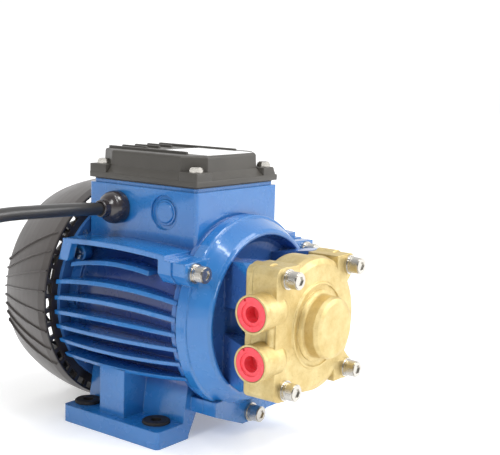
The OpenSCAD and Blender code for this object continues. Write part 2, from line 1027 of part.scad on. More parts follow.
module fan_cover_screws() {
    head_y = cover_y + cover_len - cover_screw_sink;
    color("#8d9094")
        at_shaft()
            at_cover_screws() {
                difference() {
                    rod_y(head_y, head_y + slot_pan_h, slot_pan_r);
                    block(-pan_r, pan_r, head_y + slot_pan_h / 2, head_y + pan_h, -cross_w / 2, cross_w / 2);
                }
                rod_y(rear_y + tiny, head_y + tiny, cover_screw_r);
            }
}

// Terminal box lid
module lid_dome_outline(inset) {
    x = box_w / 2 - lid_in - inset;
    y = box_len / 2 - lid_in - inset;
    c = lid_cut - inset * (2 - sqrt(2));
    polygon([
        [-x + c, -y], [x - c, -y], [x, -y + c], [x, y - c],
        [x - c, y], [-x + c, y], [-x, y - c], [-x, -y + c]
    ]);
}

module terminal_lid() {
    w = box_w;
    color("#3a3833")
        translate([0, box_mid_y, lid_z])
            difference() {
                union() {
                    linear_extrude(height = lid_flange_t)
                        round_rect(w, box_len, 1);
                    for (sx = [-1, 1])
                        for (sy = [-1, 1])
                            translate([sx * (w / 2 - lid_pad / 2), sy * (box_len / 2 - lid_pad / 2), 0])
                                linear_extrude(height = lid_pad_t)
                                    round_rect(lid_pad, lid_pad, 1);
                    for (s = edge_share) {
                        linear_extrude(height = lid_h - lid_edge * s[1]) lid_dome_outline(lid_edge * s[0]);
                        linear_extrude(height = lid_flange_t + lid_slope * s[1])
                            lid_dome_outline(-lid_slope * s[0]);
                    }
                    for (i = [0 : len(lid_rib_x_share) - 1]) lid_rib(i);
                }
                translate([0, 0, -through])
                    linear_extrude(height = lid_h - lid_wall + through)
                        lid_dome_outline(lid_wall);
                for (sx = [-1, 1])
                    for (sy = [-1, 1])
                        translate([sx * (w / 2 - lid_screw_in), sy * (box_len / 2 - lid_screw_in), 0])
                            rod_z(-through, lid_h, lid_hole_r);
                translate([-label_w / 2 - fit_gap, -box_len / 2 + lid_in + label_front - fit_gap, lid_h])
                    translate([0, 0, -label_t / 2])
                        cube([label_w + 2 * fit_gap, label_len + 2 * fit_gap, lid_h]);
            }
}

module lid_rib(i) {
    half = box_w / 2 - lid_in;
    x = lid_rib_x_share[i] * half;
    outer = i == 0 || i == len(lid_rib_x_share) - 1;
    long = outer ? lid_rib_long : lid_rib_short;
    back = box_len / 2 - lid_in - lid_rib_front;
    translate([x - lid_rib_w / 2, back - long, lid_h - lid_edge])
        cube([lid_rib_w, long, lid_rib_h + lid_edge]);
}

module lid_gasket() {
    w = box_w - 2 * neck_in;
    l = box_len - 2 * neck_in;
    color("#1c1c1c")
        translate([0, box_mid_y, lid_z - gasket_h])
            difference() {
                linear_extrude(height = gasket_h) round_rect(w, l, box_corner);
                translate([0, 0, -through])
                    linear_extrude(height = gasket_h + 2 * through)
                        lid_dome_outline(lid_wall - gasket_w / 2);
                for (sx = [-1, 1])
                    for (sy = [-1, 1])
                        translate([sx * (box_w / 2 - lid_screw_in), sy * (box_len / 2 - lid_screw_in), 0])
                            rod_z(-through, gasket_h + through, lid_hole_r);
            }
}

module lid_screws() {
    top = lid_z + lid_pad_t;
    color("#d5d6d8")
        at_lid_screws() {
            difference() {
                union() {
                    for (s = pan_share) rod_z(top, top + pan_h * s[1], pan_r * s[0]);
                }
                for (a = [0, quarter_turn])
                    rotate([0, 0, a])
                        block(-cross_len / 2, cross_len / 2, -cross_w / 2, cross_w / 2,
                            top + pan_h - cross_depth, top + pan_h + through);
            }
            rod_z(shaft_h + box_rise - lid_screw_len + 1, top + tiny, lid_screw_r - fit_gap);
        }
}

module lid_label_plate() {
    color("#f2f2ee")
        translate([-label_w / 2, box_y0 + lid_in + label_front, lid_z + lid_h - label_t / 2])
            cube([label_w, label_len, label_t]);
}

// Cable gland
module cable_gland() {
    inner = box_w / 2 - neck_in - box_wall;
    profile = [for (s = gland_arc_share) [gland_r * s[1], gland_len * s[0]]];
    color("#1d1b1b")
        translate([-box_w / 2, gland_y, knock_z])
            difference() {
                union() {
                    rotate([0, -quarter_turn, 0])
                        rotate_extrude()
                            polygon(concat([[0, 0]], profile, [[0, gland_len]]));
                    rod_x(-tiny, neck_in + box_wall + gland_in_t, gland_hole_r);
                    rod_x(neck_in + box_wall, neck_in + box_wall + gland_in_t, gland_in_r);
                }
                rod_x(-gland_len + gland_stop, ear_len, cord_r + fit_gap);
            }
}

// Terminal board with its studs
module terminal_board() {
    color("#8a3b2a")
        translate([0, box_mid_y, board_z])
            difference() {
                union() {
                    translate([-board_w / 2, -board_len / 2, 0]) cube([board_w, board_len, board_t]);
                    for (s = [-1, 1])
                        translate([s * stud_pitch_x / 2 - board_wall_t / 2, -board_len / 2, board_t - tiny])
                            cube([board_wall_t, board_len, board_wall_h]);
                    for (s = [-1, 1])
                        translate([0, s * (board_len / 2 - board_leg_r), 0])
                            difference() {
                                rod_z(shaft_h + barrel_r - board_z, tiny, board_leg_r);
                            }
                }
                at_studs() rod_z(-through, board_t + through, stud_r + fit_gap);
            }
}

module at_studs() {
    for (ix = [-1, 0, 1])
        for (sy = [-1, 1])
            translate([ix * stud_pitch_x, sy * stud_pitch_y / 2, 0])
                children();
}

module terminal_studs() {
    color("#c9a24a")
        translate([0, box_mid_y, board_z])
            at_studs() {
                rod_z(0, board_t + stud_h, stud_r);
                translate([0, 0, board_t])
                    cylinder(h = stud_nut_h, r = stud_nut_r, $fn = hex_fn);
            }
}

module earth_screw() {
    color("#b9bcc0")
        translate([-earth_x, earth_y, shaft_h + earth_z]) {
            difference() {
                rod_x(-earth_h, 0, earth_r);
                block(-earth_h - through, -earth_h / 2, -earth_r, earth_r, -cross_w / 2, cross_w / 2);
            }
            rod_x(-tiny, earth_len - 1, earth_shank_r);
        }
}

// Stator
module stator_core() {
    color("#6f7175")
        at_shaft()
            difference() {
                rod_y(stack_y0, stack_y1, stator_r - fit_gap / 2);
                rod_y(stack_y0 - through, stack_y1 + through, rotor_r + air_gap);
                for (k = [0 : slot_count - 1])
                    rotate([0, k * full_turn / slot_count, 0]) {
                        block(slot_in_r, slot_in_r + slot_depth, stack_y0 - through, stack_y1 + through,
                            -slot_w / 2, slot_w / 2);
                        block(rotor_r, slot_in_r + 1, stack_y0 - through, stack_y1 + through,
                            -slot_mouth / 2, slot_mouth / 2);
                    }
            }
}

module end_winding(y0, y1) {
    turned([
        [winding_in_r, y0], [winding_r - winding_edge, y0], [winding_r, y0 + winding_edge],
        [winding_r, y1 - winding_edge], [winding_r - winding_edge, y1], [winding_in_r + winding_edge, y1],
        [winding_in_r, y1 - winding_edge]
    ]);
}

module stator_windings() {
    color("#b5622c")
        at_shaft() {
            end_winding(stack_y1, stack_y1 + winding_rear_len);
            mirror([0, 1, 0]) end_winding(-stack_y0, -stack_y0 + winding_front_len);
            for (k = [0 : slot_count - 1])
                rotate([0, k * full_turn / slot_count, 0])
                    block(slot_in_r + 2 * fit_gap, slot_in_r + slot_depth - fit_gap,
                        stack_y0 - tiny, stack_y1 + tiny, -slot_w / 2 + fit_gap, slot_w / 2 - fit_gap);
        }
}

// Ball bearings
module outer_race(b, y0) {
    wall = (b[0] - b[1]) * race_share;
    ring_y(y0, y0 + b[2], b[0] - fit_gap / 2, b[0] - wall);
}

module inner_race(b, y0) {
    wall = (b[0] - b[1]) * race_share;
    ring_y(y0, y0 + b[2], b[1] + wall, b[1] + tiny);
}

module balls(b, y0, count) {
    gap = (b[0] - b[1]) * (1 - 2 * race_share);
    ball = gap / 2 - run_gap;
    mid = (b[0] + b[1]) / 2;
    for (k = [0 : count - 1])
        rotate([0, k * full_turn / count, 0])
            translate([mid, y0 + b[2] / 2, 0])
                sphere(r = ball, $fn = round_fn);
    ring_y(y0 + b[2] / 2 - cage_t / 2, y0 + b[2] / 2 + cage_t / 2,
        mid + ball * cage_share, mid - ball * cage_share);
}

module front_bearing_outer() {
    color("#c9ccd0") at_shaft() outer_race(front_bearing, front_bearing_y);
}

module front_bearing_inner() {
    color("#c9ccd0") at_shaft() inner_race(front_bearing, front_bearing_y);
}

module front_bearing_balls() {
    color("#e0e2e4") at_shaft() balls(front_bearing, front_bearing_y, front_ball_count);
}

module rear_bearing_outer() {
    color("#c9ccd0") at_shaft() outer_race(rear_bearing, rear_bearing_y);
}

module rear_bearing_inner() {
    color("#c9ccd0") at_shaft() inner_race(rear_bearing, rear_bearing_y);
}

module rear_bearing_balls() {
    color("#e0e2e4") at_shaft() balls(rear_bearing, rear_bearing_y, rear_ball_count);
}

module wave_washer() {
    y1 = front_bearing_y + front_bearing[2];
    color("#a8abaf")
        at_shaft()
            ring_y(y1, y1 + wave_t, front_bearing[0] - fit_gap, front_bearing[0] - wave_w);
}

// Pump head: corners with square shoulders and a straight left side
module corner_outline(r) {
    half = screw_pitch / 2;
    for (sx = [-1, 1])
        for (sz = [-1, 1])
            translate([sx * half, sz * half]) {
                circle(r = r, $fn = round_fn);
                rotate(atan2(sz, sx))
                    translate([-half / 2, 0])
                        square([half, 2 * neck_half], center = true);
                translate([-sx * (half - shoulder_x) / 2, sz * (neck_half - left_corner) / 2])
                    square([half - shoulder_x, neck_half + left_corner], center = true);
            }
    translate([left_depth / 2 - left_x, 0])
        round_rect(left_depth, screw_pitch + 2 * neck_half, left_corner);
}

module head_slab(y0, y1, r) {
    translate([0, y1, 0])
        rotate([quarter_turn, 0, 0])
            linear_extrude(height = y1 - y0)
                corner_outline(r);
}

module pump_back_plate() {
    color("#cfae62")
        at_shaft()
            difference() {
                union() {
                    head_slab(casing_y, plate_y, lobe_r);
                    rod_y(casing_y, plate_y, casing_r);
                    rod_y(casing_y + through, plate_y + seal_hub_len, seal_hub_r);
                }
                rod_y(casing_y - through, plate_y + seal_hub_len - seal_lip_t, seal_bore_r);
                rod_y(casing_y, plate_y + seal_hub_len + through, seal_lip_r);
                at_pillars() rod_y(casing_y - through, plate_y + through, m6[0] + move_gap);
            }
}

module port_boss(z) {
    lip_r = port_r + port_collar_lift;
    collar_x = -port_reach + port_collar_len;
    translate([0, port_y, z])
        rotate([0, quarter_turn, 0])
            rotate_extrude()
                polygon(concat(
                    [[0, -port_reach], [lip_r, -port_reach], [lip_r, collar_x], [port_r, collar_x]],
                    soft_corner([port_r, -port_root_x], [0, -port_root_soft], [-port_root_soft, 0]),
                    [[0, -port_root_x]]
                ));
}

module port_cut(z) {
    translate([0, port_y, z]) {
        rod_x(-port_reach - through, -port_reach + port_mouth_depth, port_mouth_r);
        rod_x(-port_reach - through, -port_reach + port_bore_depth, port_bore_r);
        rod_x(-port_reach, -cavity_r + duct_reach, port_duct_r);
    }
}

module dome() {
    top = face_y - dome_h;
    turned(concat(
        [[0, top]],
        soft_corner([dome_r, top], [-dome_edge, 0], [0, dome_edge]),
        soft_corner([dome_r, face_y - step_h], [0, -dome_foot], [dome_foot, 0]),
        [[dome_r + dome_foot, face_y + through], [0, face_y + through]]
    ));
}

module pump_casing() {
    color("#d9bc72")
        at_shaft()
            difference() {
                union() {
                    head_slab(face_y, casing_y, lobe_front_r);
                    head_slab(split_y, casing_y, lobe_r);
                    turned(concat(
                        [[0, casing_y], [casing_r, casing_y]],
                        [[casing_r, split_y], [casing_r + split_lip, split_y]],
                        soft_corner([casing_r + split_lip, face_y], [0, casing_soft], [-casing_soft, 0]),
                        soft_corner([step_r, face_y], [casing_round, 0], [0, -casing_round]),
                        soft_corner([step_r, face_y - step_h], [0, casing_round], [-casing_round, 0]),
                        [[0, face_y - step_h]]
                    ));
                    dome();
                    for (s = [-1, 1]) port_boss(s * port_pitch / 2);
                    translate([-column_x, face_y + column_r + through, 0])
                        rod_z(-port_pitch / 2, port_pitch / 2, column_r);
                    slab_y(rib_y, rib_y + side_rib_len, [
                        [casing_r - side_rib_w, -side_rib_w], [casing_r + side_rib_out, -side_rib_w / 2],
                        [casing_r + side_rib_out, side_rib_w / 2], [casing_r - side_rib_w, side_rib_w]
                    ]);
                }
                block(-left_x - move_gap, 0, casing_y, plate_y + through,
                    -screw_pitch / 2, screw_pitch / 2);
                ring_y(face_y - step_h - through, face_y - step_h + groove_depth, groove_r, groove_in_r + tiny);
                rod_y(casing_y - cavity_depth, casing_y + through, cavity_r);
                rod_y(face_y - dome_h + dome_wall, casing_y, dome_r - dome_wall);
                for (s = [-1, 1]) port_cut(s * port_pitch / 2);
                at_pillars() rod_y(face_y - through, casing_y + through, m6[0] + move_gap);
                at_pillars() rod_y(face_y - dome_h, face_y, m6_washer_r + spot_gap);
                ring_y(casing_y - 2 * ring_cord_r, casing_y + through,
                    ring_groove_r + ring_cord_r + fit_gap, ring_groove_r - ring_cord_r - fit_gap);
            }
}

module casing_seal_ring() {
    color("#151515")
        at_shaft()
            translate([0, casing_y - ring_cord_r, 0])
                rotate([-quarter_turn, 0, 0])
                    rotate_extrude()
                        translate([ring_groove_r, 0]) circle(r = ring_cord_r - fit_gap, $fn = round_fn);
}

// Screws with washers
module socket_screw(y, reach) {
    difference() {
        union() {
            rod_y(y - m6[2], y - m6[2] + m6_knurl_edge, m6[1] - m6_knurl_edge);
            rod_y(y - m6[2] + m6_knurl_edge, y, m6[1]);
        }
        rod_y(y - m6[2] - through, y - m6[2] + m6_socket_depth, m6[3], hex_fn);
    }
    rod_y(y - tiny, y + reach, m6[0]);
}

module flat_washer(y) {
    ring_y(y - m6_washer_t, y, m6_washer_r, m6[0] + fit_gap);
}

module spring_washer(y) {
    difference() {
        ring_y(y - m6_washer_t, y, m6_spring_r, m6[0] + fit_gap);
        translate([0, y - m6_washer_t - through, 0])
            rotate([0, tie_angle, 0])
                block(0, m6_spring_r + through, 0, m6_washer_t + 2 * through, 0, m6_spring_slot);
    }
}

module casing_screws() {
    color("#c4c5c7") at_shaft() at_pillars() socket_screw(face_y - 2 * m6_washer_t, casing_screw_len);
}

module casing_flat_washers() {
    color("#b9b9b6") at_shaft() at_pillars() flat_washer(face_y);
}

module casing_spring_washers() {
    color("#b0b0ad") at_shaft() at_pillars() spring_washer(face_y - m6_washer_t);
}

module tie_screws() {
    y = joint_y - bracket_ear_t - 2 * m6_washer_t;
    color("#c4c5c7") at_shaft() at_ties() socket_screw(y, tie_reach - 1);
}

module tie_flat_washers() {
    color("#b9b9b6") at_shaft() at_ties() flat_washer(joint_y - bracket_ear_t);
}

module tie_spring_washers() {
    color("#b0b0ad") at_shaft() at_ties() spring_washer(joint_y - bracket_ear_t - m6_washer_t);
}

// Shaft seal
module seal_seat() {
    back = plate_y + seal_hub_len - seal_lip_t;
    color("#d8d4c8")
        at_shaft() ring_y(back - seat_t, back, seat_r, shaft_pump_r + seal_bore_gap);
}

module seal_rotating_ring() {
    back = plate_y + seal_hub_len - seal_lip_t - seat_t - run_gap;
    color("#2b2b2b")
        at_shaft()
            union() {
                ring_y(back - seal_nose_t, back, seal_ring_r - through, shaft_pump_r + tiny);
                ring_y(back - seal_nose_t - seal_ring_t, back - seal_nose_t + tiny,
                    seal_ring_r, shaft_pump_r + tiny);
            }
}

// Foot grommets
module foot_grommets() {
    color("#1b1919")
        for (sx = [-1, 1])
            for (sy = [-1, 1])
                translate([sx * bolt_across / 2, sy * bolt_along / 2, 0])
                    difference() {
                        union() {
                            rod_z(foot_t, foot_t + grommet_head_t - grommet_edge, grommet_r);
                            rod_z(foot_t, foot_t + grommet_head_t, grommet_r - grommet_edge);
                            rod_z(foot_t - grommet_len, foot_t + tiny, foot_hole_r - fit_gap);
                        }
                        rod_z(-through, foot_t + ear_len, grommet_bore_r);
                    }
}

// Nameplate
module nameplate() {
    color("#b9b7b0")
        at_shaft()
            difference() {
                block(plate_x, plate_x + plate_sheet_t,
                    plate_mid_y - plate_len / 2, plate_mid_y + plate_len / 2,
                    plate_z - shaft_h - plate_h / 2, plate_z - shaft_h + plate_h / 2);
                at_rivets() rod_x(plate_x - through, plate_x + ear_len, rivet_r + fit_gap);
            }
}

module nameplate_rivets() {
    color("#b06a4a")
        at_shaft()
            at_rivets() {
                rod_x(plate_x - rivet_depth + 1, plate_x + plate_sheet_t + tiny, rivet_r);
                rod_x(plate_x + plate_sheet_t, plate_x + plate_sheet_t + rivet_head_h, rivet_head_r);
            }
}

// Shaft with its bearing seats
module shaft() {
    front_seat_y = front_bearing_y + front_bearing[2];
    fan_end = shaft_rear_y;
    color("#aeb1b5")
        at_shaft()
            difference() {
                turned([
                    [0, shaft_front_y], [shaft_pump_r - chamfer, shaft_front_y],
                    [shaft_pump_r, shaft_front_y + chamfer], [shaft_pump_r, front_bearing_y - shoulder_y],
                    [front_bearing[1], front_bearing_y - shoulder_y], [front_bearing[1], front_seat_y],
                    [shaft_core_r, front_seat_y], [shaft_core_r, rear_bearing_y - 1],
                    [rear_bearing[1], rear_bearing_y - 1],
                    [rear_bearing[1], rear_bearing_y + rear_bearing[2]],
                    [shaft_fan_r, rear_bearing_y + rear_bearing[2]], [shaft_fan_r, fan_end - chamfer],
                    [shaft_fan_r - chamfer, fan_end], [0, fan_end]
                ]);
                block(-key_w / 2, key_w / 2, key_y, key_y + key_len,
                    shaft_pump_r - key_h, shaft_pump_r + through);
            }
}

module rotor_core() {
    color("#77797d")
        at_shaft()
            ring_y(stack_y0, stack_y1, rotor_r, shaft_core_r + tiny);
}

module rotor_end_rings() {
    color("#c3c6c9")
        at_shaft() {
            for (m = [0, 1])
                translate([0, m * (stack_y0 + stack_y1), 0])
                    mirror([0, m, 0]) {
                        ring_y(stack_y1, stack_y1 + end_ring_t, end_ring_r, end_ring_in_r);
                        for (k = [0 : rotor_fin_count - 1])
                            rotate([0, k * full_turn / rotor_fin_count, 0])
                                block(end_ring_in_r + 1, end_ring_r - 1, stack_y1 + end_ring_t - tiny,
                                    stack_y1 + end_ring_t + rotor_fin_h, -rotor_fin_t / 2, rotor_fin_t / 2);
                    }
        }
}

module cooling_fan() {
    color("#e4e0d2")
        at_shaft()
            difference() {
                union() {
                    rod_y(fan_y0, fan_y0 + fan_hub_len, fan_hub_r);
                    rod_y(fan_y0, fan_y0 + fan_disc_t, fan_disc_r);
                    for (k = [0 : fan_blade_count - 1])
                        rotate([0, k * full_turn / fan_blade_count, 0])
                            block(fan_hub_r - 1, fan_r, fan_y0, fan_y0 + fan_w,
                                -fan_blade_t / 2, fan_blade_t / 2);
                }
                rod_y(fan_y0 - through, fan_y0 + fan_hub_len + through, shaft_fan_r + tiny);
            }
}

module fan_circlip() {
    y = fan_y0 + fan_hub_len;
    color("#55585c")
        at_shaft()
            difference() {
                ring_y(y, y + circlip_t, circlip_r, shaft_fan_r + tiny);
                block(0, circlip_r + through, y - through, y + circlip_t + through, -stud_r / 2, stud_r / 2);
            }
}

// Impeller with radial vanes on its rim
module impeller() {
    y1 = casing_y - impeller_side_gap;
    y0 = y1 - impeller_t;
    color("#c8a85c")
        at_shaft()
            difference() {
                union() {
                    rod_y(y0, y1, impeller_web_r);
                    rod_y((y0 + y1) / 2 - vane_t / 2, (y0 + y1) / 2 + vane_t / 2, impeller_r - 1);
                    intersection() {
                        for (k = [0 : vane_count / 2 - 1])
                            rotate([0, k * full_turn / vane_count, 0])
                                block(-impeller_r, impeller_r, y0, y1, -vane_t / 2, vane_t / 2);
                        rod_y(y0, y1, impeller_r);
                    }
                    rod_y(y0 - impeller_hub_out, y1, impeller_hub_r);
                }
                rod_y(y0 - ear_len, y1 + through, shaft_pump_r + tiny);
                block(-key_w / 2, key_w / 2, y0 - ear_len, y1 + through, 0, shaft_pump_r + key_h - 1);
            }
}

module impeller_key() {
    y = key_y;
    color("#8f9296")
        at_shaft()
            block(-key_w / 2 + fit_gap, key_w / 2 - fit_gap, y + fit_gap, y + key_len - fit_gap,
                shaft_pump_r - key_h + tiny, shaft_pump_r + key_h - 1 - fit_gap);
}

module impeller_circlip() {
    y1 = casing_y - impeller_side_gap - impeller_t - impeller_hub_out;
    color("#55585c")
        at_shaft()
            ring_y(y1 - circlip_t, y1, clip_pump_r, shaft_pump_r + tiny);
}

module slinger() {
    color("#232323")
        at_shaft()
            union() {
                ring_y(slinger_y, slinger_y + slinger_t, slinger_r, shaft_pump_r + tiny);
                ring_y(slinger_y, slinger_y + 2 * slinger_t, shaft_pump_r + slinger_t, shaft_pump_r + tiny);
            }
}

// Transport plugs in the ports
module port_plug(z) {
    mouth = -port_reach;
    color("#e0323c")
        translate([0, port_y, shaft_h + z])
            difference() {
                union() {
                    rod_x(mouth, mouth + cap_flange_t, cap_flange_r);
                    rod_x(mouth, mouth + cap_len, cap_r);
                }
                rod_x(mouth - through, mouth + cap_step, cap_step_r);
                rod_x(mouth - through, mouth + cap_recess, cap_recess_r);
                rotate([-tie_angle, 0, 0])
                    block(mouth - through, mouth + cap_step, -cap_notch / 2, cap_notch / 2,
                        cap_flange_r - cap_notch, cap_flange_r + through);
            }
}

module port_plug_upper() {
    port_plug(port_pitch / 2);
}

module port_plug_lower() {
    port_plug(-port_pitch / 2);
}

// Cord: one tube swept along points, closed at both ends
function unit(v) = v / norm(v);
function curve_point(a, b, c, d, t) =
    0.5 * ((2 * b) + (c - a) * t + (2 * a - 5 * b + 4 * c - d) * t * t + (3 * b - a - 3 * c + d) * t * t * t);
function pick(p, i) = p[max(0, min(len(p) - 1, i))];
function smooth_route(p, steps) = concat(
    [for (i = [0 : len(p) - 2]) for (k = [0 : steps - 1])
        curve_point(pick(p, i - 1), p[i], p[i + 1], pick(p, i + 2), k / steps)],
    [p[len(p) - 1]]);
function tube_ring(p, way, r, n) =
    let (side = unit(cross([0, 0, 1], way)), up = cross(way, side))
    [for (k = [0 : n - 1]) p + r * cos(k * full_turn / n) * side + r * sin(k * full_turn / n) * up];
function route_way(p, i, first, last) =
    i == 0 ? first : i == len(p) - 1 ? last : unit(p[i + 1] - p[i - 1]);

module tube(path, r, n, first, last) {
    m = len(path);
    points = [for (i = [0 : m - 1]) each tube_ring(path[i], route_way(path, i, first, last), r, n)];
    walls = [for (i = [0 : m - 2]) for (k = [0 : n - 1]) each [
        [i * n + k, i * n + (k + 1) % n, (i + 1) * n + (k + 1) % n],
        [i * n + k, (i + 1) * n + (k + 1) % n, (i + 1) * n + k]
    ]];
    head = [for (k = [1 : n - 2]) [0, k + 1, k]];
    tail = [for (k = [1 : n - 2]) [(m - 1) * n, (m - 1) * n + k, (m - 1) * n + k + 1]];
    polyhedron(points = points, faces = concat(walls, head, tail), convexity = flat_mesh);
}

lead_path = [for (p = smooth_route(lead_points, lead_steps)) [-box_w / 2 - gland_len - p[0], gland_y, p[1]]];
coil_total = 2 * coil_turns + half_loop;
coil_count = coil_total * coil_rings;
function coil_radius(t) = coil_r - coil_pitch * min(t, coil_total - t);
function coil_height(t) =
    t < coil_turns ? cord_r + layer_rise
    : t < coil_turns + half_loop ? cord_r + layer_rise * (1 - (t - coil_turns) / half_loop)
    : cord_r;
coil_path = [for (i = [0 : coil_count])
    let (t = i / coil_rings, a = -quarter_turn - t * full_turn, r = coil_radius(t))
    [coil_x + r * cos(a), gland_y + coil_r + r * sin(a), coil_height(t)]];
tail_path = [for (i = [1 : tail_rings])
    let (s = i / tail_rings, ramp = min(1, s * ramp_rate))
    [coil_x + s * tail_len, gland_y + 2 * coil_r,
        cord_r + (mains_z - cord_r) * (1 - cos(ramp * half_turn)) / 2]];
wound_path = concat(coil_path, tail_path);
loop_gap = min([for (i = [0 : gap_step : coil_count]) for (j = [i + gap_skip : gap_step : coil_count])
    norm(coil_path[i] - coil_path[j])]) - cord_d;
echo(coil_gap_to_itself = loop_gap);

module cord_lead() {
    color("#1a1a1a") tube(lead_path, cord_r, lead_sides, [-1, 0, 0], [-1, 0, 0]);
}

module cord_coil() {
    color("#1a1a1a") tube(wound_path, cord_r, coil_sides, [-1, 0, 0], [1, 0, 0]);
}

plug_x = coil_x + tail_len;

module mains_plug() {
    whole = mains_neck_len + mains_len;
    profile = [for (s = plug_share) [mains_r * s[0], whole * s[1]]];
    color("#1c1c1c")
        translate([plug_x, gland_y + 2 * coil_r, mains_z])
            rotate([0, quarter_turn, 0])
                rotate_extrude()
                    polygon(concat([[0, 0]], profile, [[0, whole]]));
}

module plug_pins() {
    x0 = plug_x + mains_neck_len + mains_len;
    color("#d2d3d5")
        for (s = [-1, 1])
            translate([0, gland_y + 2 * coil_r + s * pin_half, mains_z]) {
                rod_x(x0, x0 + pin_len - 1, pin_r);
                rod_x(x0 + pin_len - 1 - tiny, x0 + pin_len, pin_r - pin_edge);
            }
}

motor_housing();
bearing_bracket();
rear_end_shield();
shield_screws();
fan_cover();
fan_cover_screws();
terminal_lid();
lid_gasket();
lid_screws();
lid_label_plate();
cable_gland();
terminal_board();
terminal_studs();
earth_screw();
stator_core();
stator_windings();
front_bearing_outer();
front_bearing_balls();
front_bearing_inner();
rear_bearing_outer();
rear_bearing_balls();
rear_bearing_inner();
wave_washer();
pump_back_plate();
pump_casing();
casing_seal_ring();
casing_screws();
casing_flat_washers();
casing_spring_washers();
tie_screws();
tie_flat_washers();
tie_spring_washers();
seal_seat();
seal_rotating_ring();
foot_grommets();
nameplate();
nameplate_rivets();
shaft();
rotor_core();
rotor_end_rings();
cooling_fan();
fan_circlip();
impeller();
impeller_key();
impeller_circlip();
slinger();
port_plug_upper();
port_plug_lower();
cord_lead();
cord_coil();
mains_plug();
plug_pins();
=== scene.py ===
import math
import bmesh
import bpy
from mathutils import Matrix, Vector


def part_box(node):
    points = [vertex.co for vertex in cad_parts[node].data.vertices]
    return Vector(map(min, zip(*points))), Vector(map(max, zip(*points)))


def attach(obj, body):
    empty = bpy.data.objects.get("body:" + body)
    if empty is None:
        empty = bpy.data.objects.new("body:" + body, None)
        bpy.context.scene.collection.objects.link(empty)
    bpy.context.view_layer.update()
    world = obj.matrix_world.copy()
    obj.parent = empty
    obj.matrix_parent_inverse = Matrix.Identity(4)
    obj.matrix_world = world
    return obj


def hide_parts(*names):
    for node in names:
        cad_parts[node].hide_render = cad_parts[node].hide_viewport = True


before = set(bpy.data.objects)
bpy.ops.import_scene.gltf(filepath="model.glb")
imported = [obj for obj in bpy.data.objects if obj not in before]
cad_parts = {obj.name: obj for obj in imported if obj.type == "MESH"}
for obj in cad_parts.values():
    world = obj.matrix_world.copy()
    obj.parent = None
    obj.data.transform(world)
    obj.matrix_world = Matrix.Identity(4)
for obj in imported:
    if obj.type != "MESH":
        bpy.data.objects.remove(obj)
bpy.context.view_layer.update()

# Camera
# It stands in front of the pump head on the port side, a little above the lid, and looks
# slightly down on the motor, as the photograph was taken.
camera_at = Vector((-0.4929, -0.4393, 0.2235))
camera_right = Vector((0.6122729, -0.7902248, 0.0258189))
camera_up = Vector((0.1015829, 0.1110081, 0.9886142))
camera_back = camera_right.cross(camera_up)
lens_mm = 73.22
sensor_mm = 36.0
nearest_seen = 0.02


def placed(name, data):
    thing = bpy.data.objects.new(name, data)
    bpy.context.scene.collection.objects.link(thing)
    return thing


lens = bpy.data.cameras.new("camera")
lens.sensor_width = sensor_mm
lens.lens = lens_mm
lens.clip_start = nearest_seen
camera = placed("camera", lens)
camera.matrix_world = Matrix((
    (camera_right.x, camera_up.x, camera_back.x, camera_at.x),
    (camera_right.y, camera_up.y, camera_back.y, camera_at.y),
    (camera_right.z, camera_up.z, camera_back.z, camera_at.z),
    (0, 0, 0, 1),
))
bpy.context.scene.camera = camera

# Supply cord
# A round rubber cord, 8 mm thick and about 1.3 m long. It leaves the gland level, sags to the
# bench and is wound there into a flat coil of two layers, with its end running to the plug.
mm = 0.001
full_turn = 2 * math.pi
shaft_z = 77.5
entry_rise = 62.0
box_half = 40.0
gland_y = 13.5
gland_z = shaft_z + entry_rise
gland_len = 16.5
cord_r = 4.0
cord_facets = 5
lead_points = [
    (0, 139.5), (24, 141), (49, 142), (74, 142.5), (97, 140.5), (117, 132), (131, 116),
    (140, 95), (146, 72), (153, 49), (165, 30), (183, 17.5), (205, 12.5),
]
lead_steps = 6
coil_r = 45.0
coil_turns = 2
coil_pitch = 8.6
layer_rise = 8.5
half_loop = 0.5
loop_points = 36
tail_len = 60.0
tail_points = 14
tail_rate = 1.2
plug_z = 16.2
surface_ior = 1.5
patch_low = 0.3
patch_high = 0.7
edge_samples = 6


def shader_of(made):
    return made.node_tree.nodes["Principled BSDF"]


def finish(name, color, rough, metal=0.0, coat=0.0, coat_rough=0.1):
    made = bpy.data.materials.new(name)
    made.use_nodes = True
    shader = shader_of(made)
    shader.inputs["Base Color"].default_value = (*color, 1)
    shader.inputs["Roughness"].default_value = rough
    shader.inputs["Metallic"].default_value = metal
    shader.inputs["IOR"].default_value = surface_ior
    shader.inputs["Coat Weight"].default_value = coat
    shader.inputs["Coat Roughness"].default_value = coat_rough
    return made


def node_of(made, kind, **values):
    node = made.node_tree.nodes.new(kind)
    for key, value in values.items():
        setattr(node, key, value)
    return node


def wire(made, out, into):
    made.node_tree.links.new(out, into)


def place_of(made, stretch=(1, 1, 1)):
    place = node_of(made, "ShaderNodeTexCoord").outputs["Object"]
    if stretch == (1, 1, 1):
        return place
    scaled = node_of(made, "ShaderNodeMapping")
    scaled.inputs["Scale"].default_value = stretch
    wire(made, place, scaled.inputs["Vector"])
    return scaled.outputs["Vector"]


def noise(made, size_mm, detail=3.0, rough=0.55, stretch=(1, 1, 1)):
    clouds = node_of(made, "ShaderNodeTexNoise")
    clouds.inputs["Scale"].default_value = 1 / (size_mm * mm)
    clouds.inputs["Detail"].default_value = detail
    clouds.inputs["Roughness"].default_value = rough
    wire(made, place_of(made, stretch), clouds.inputs["Vector"])
    return clouds.outputs["Fac"]


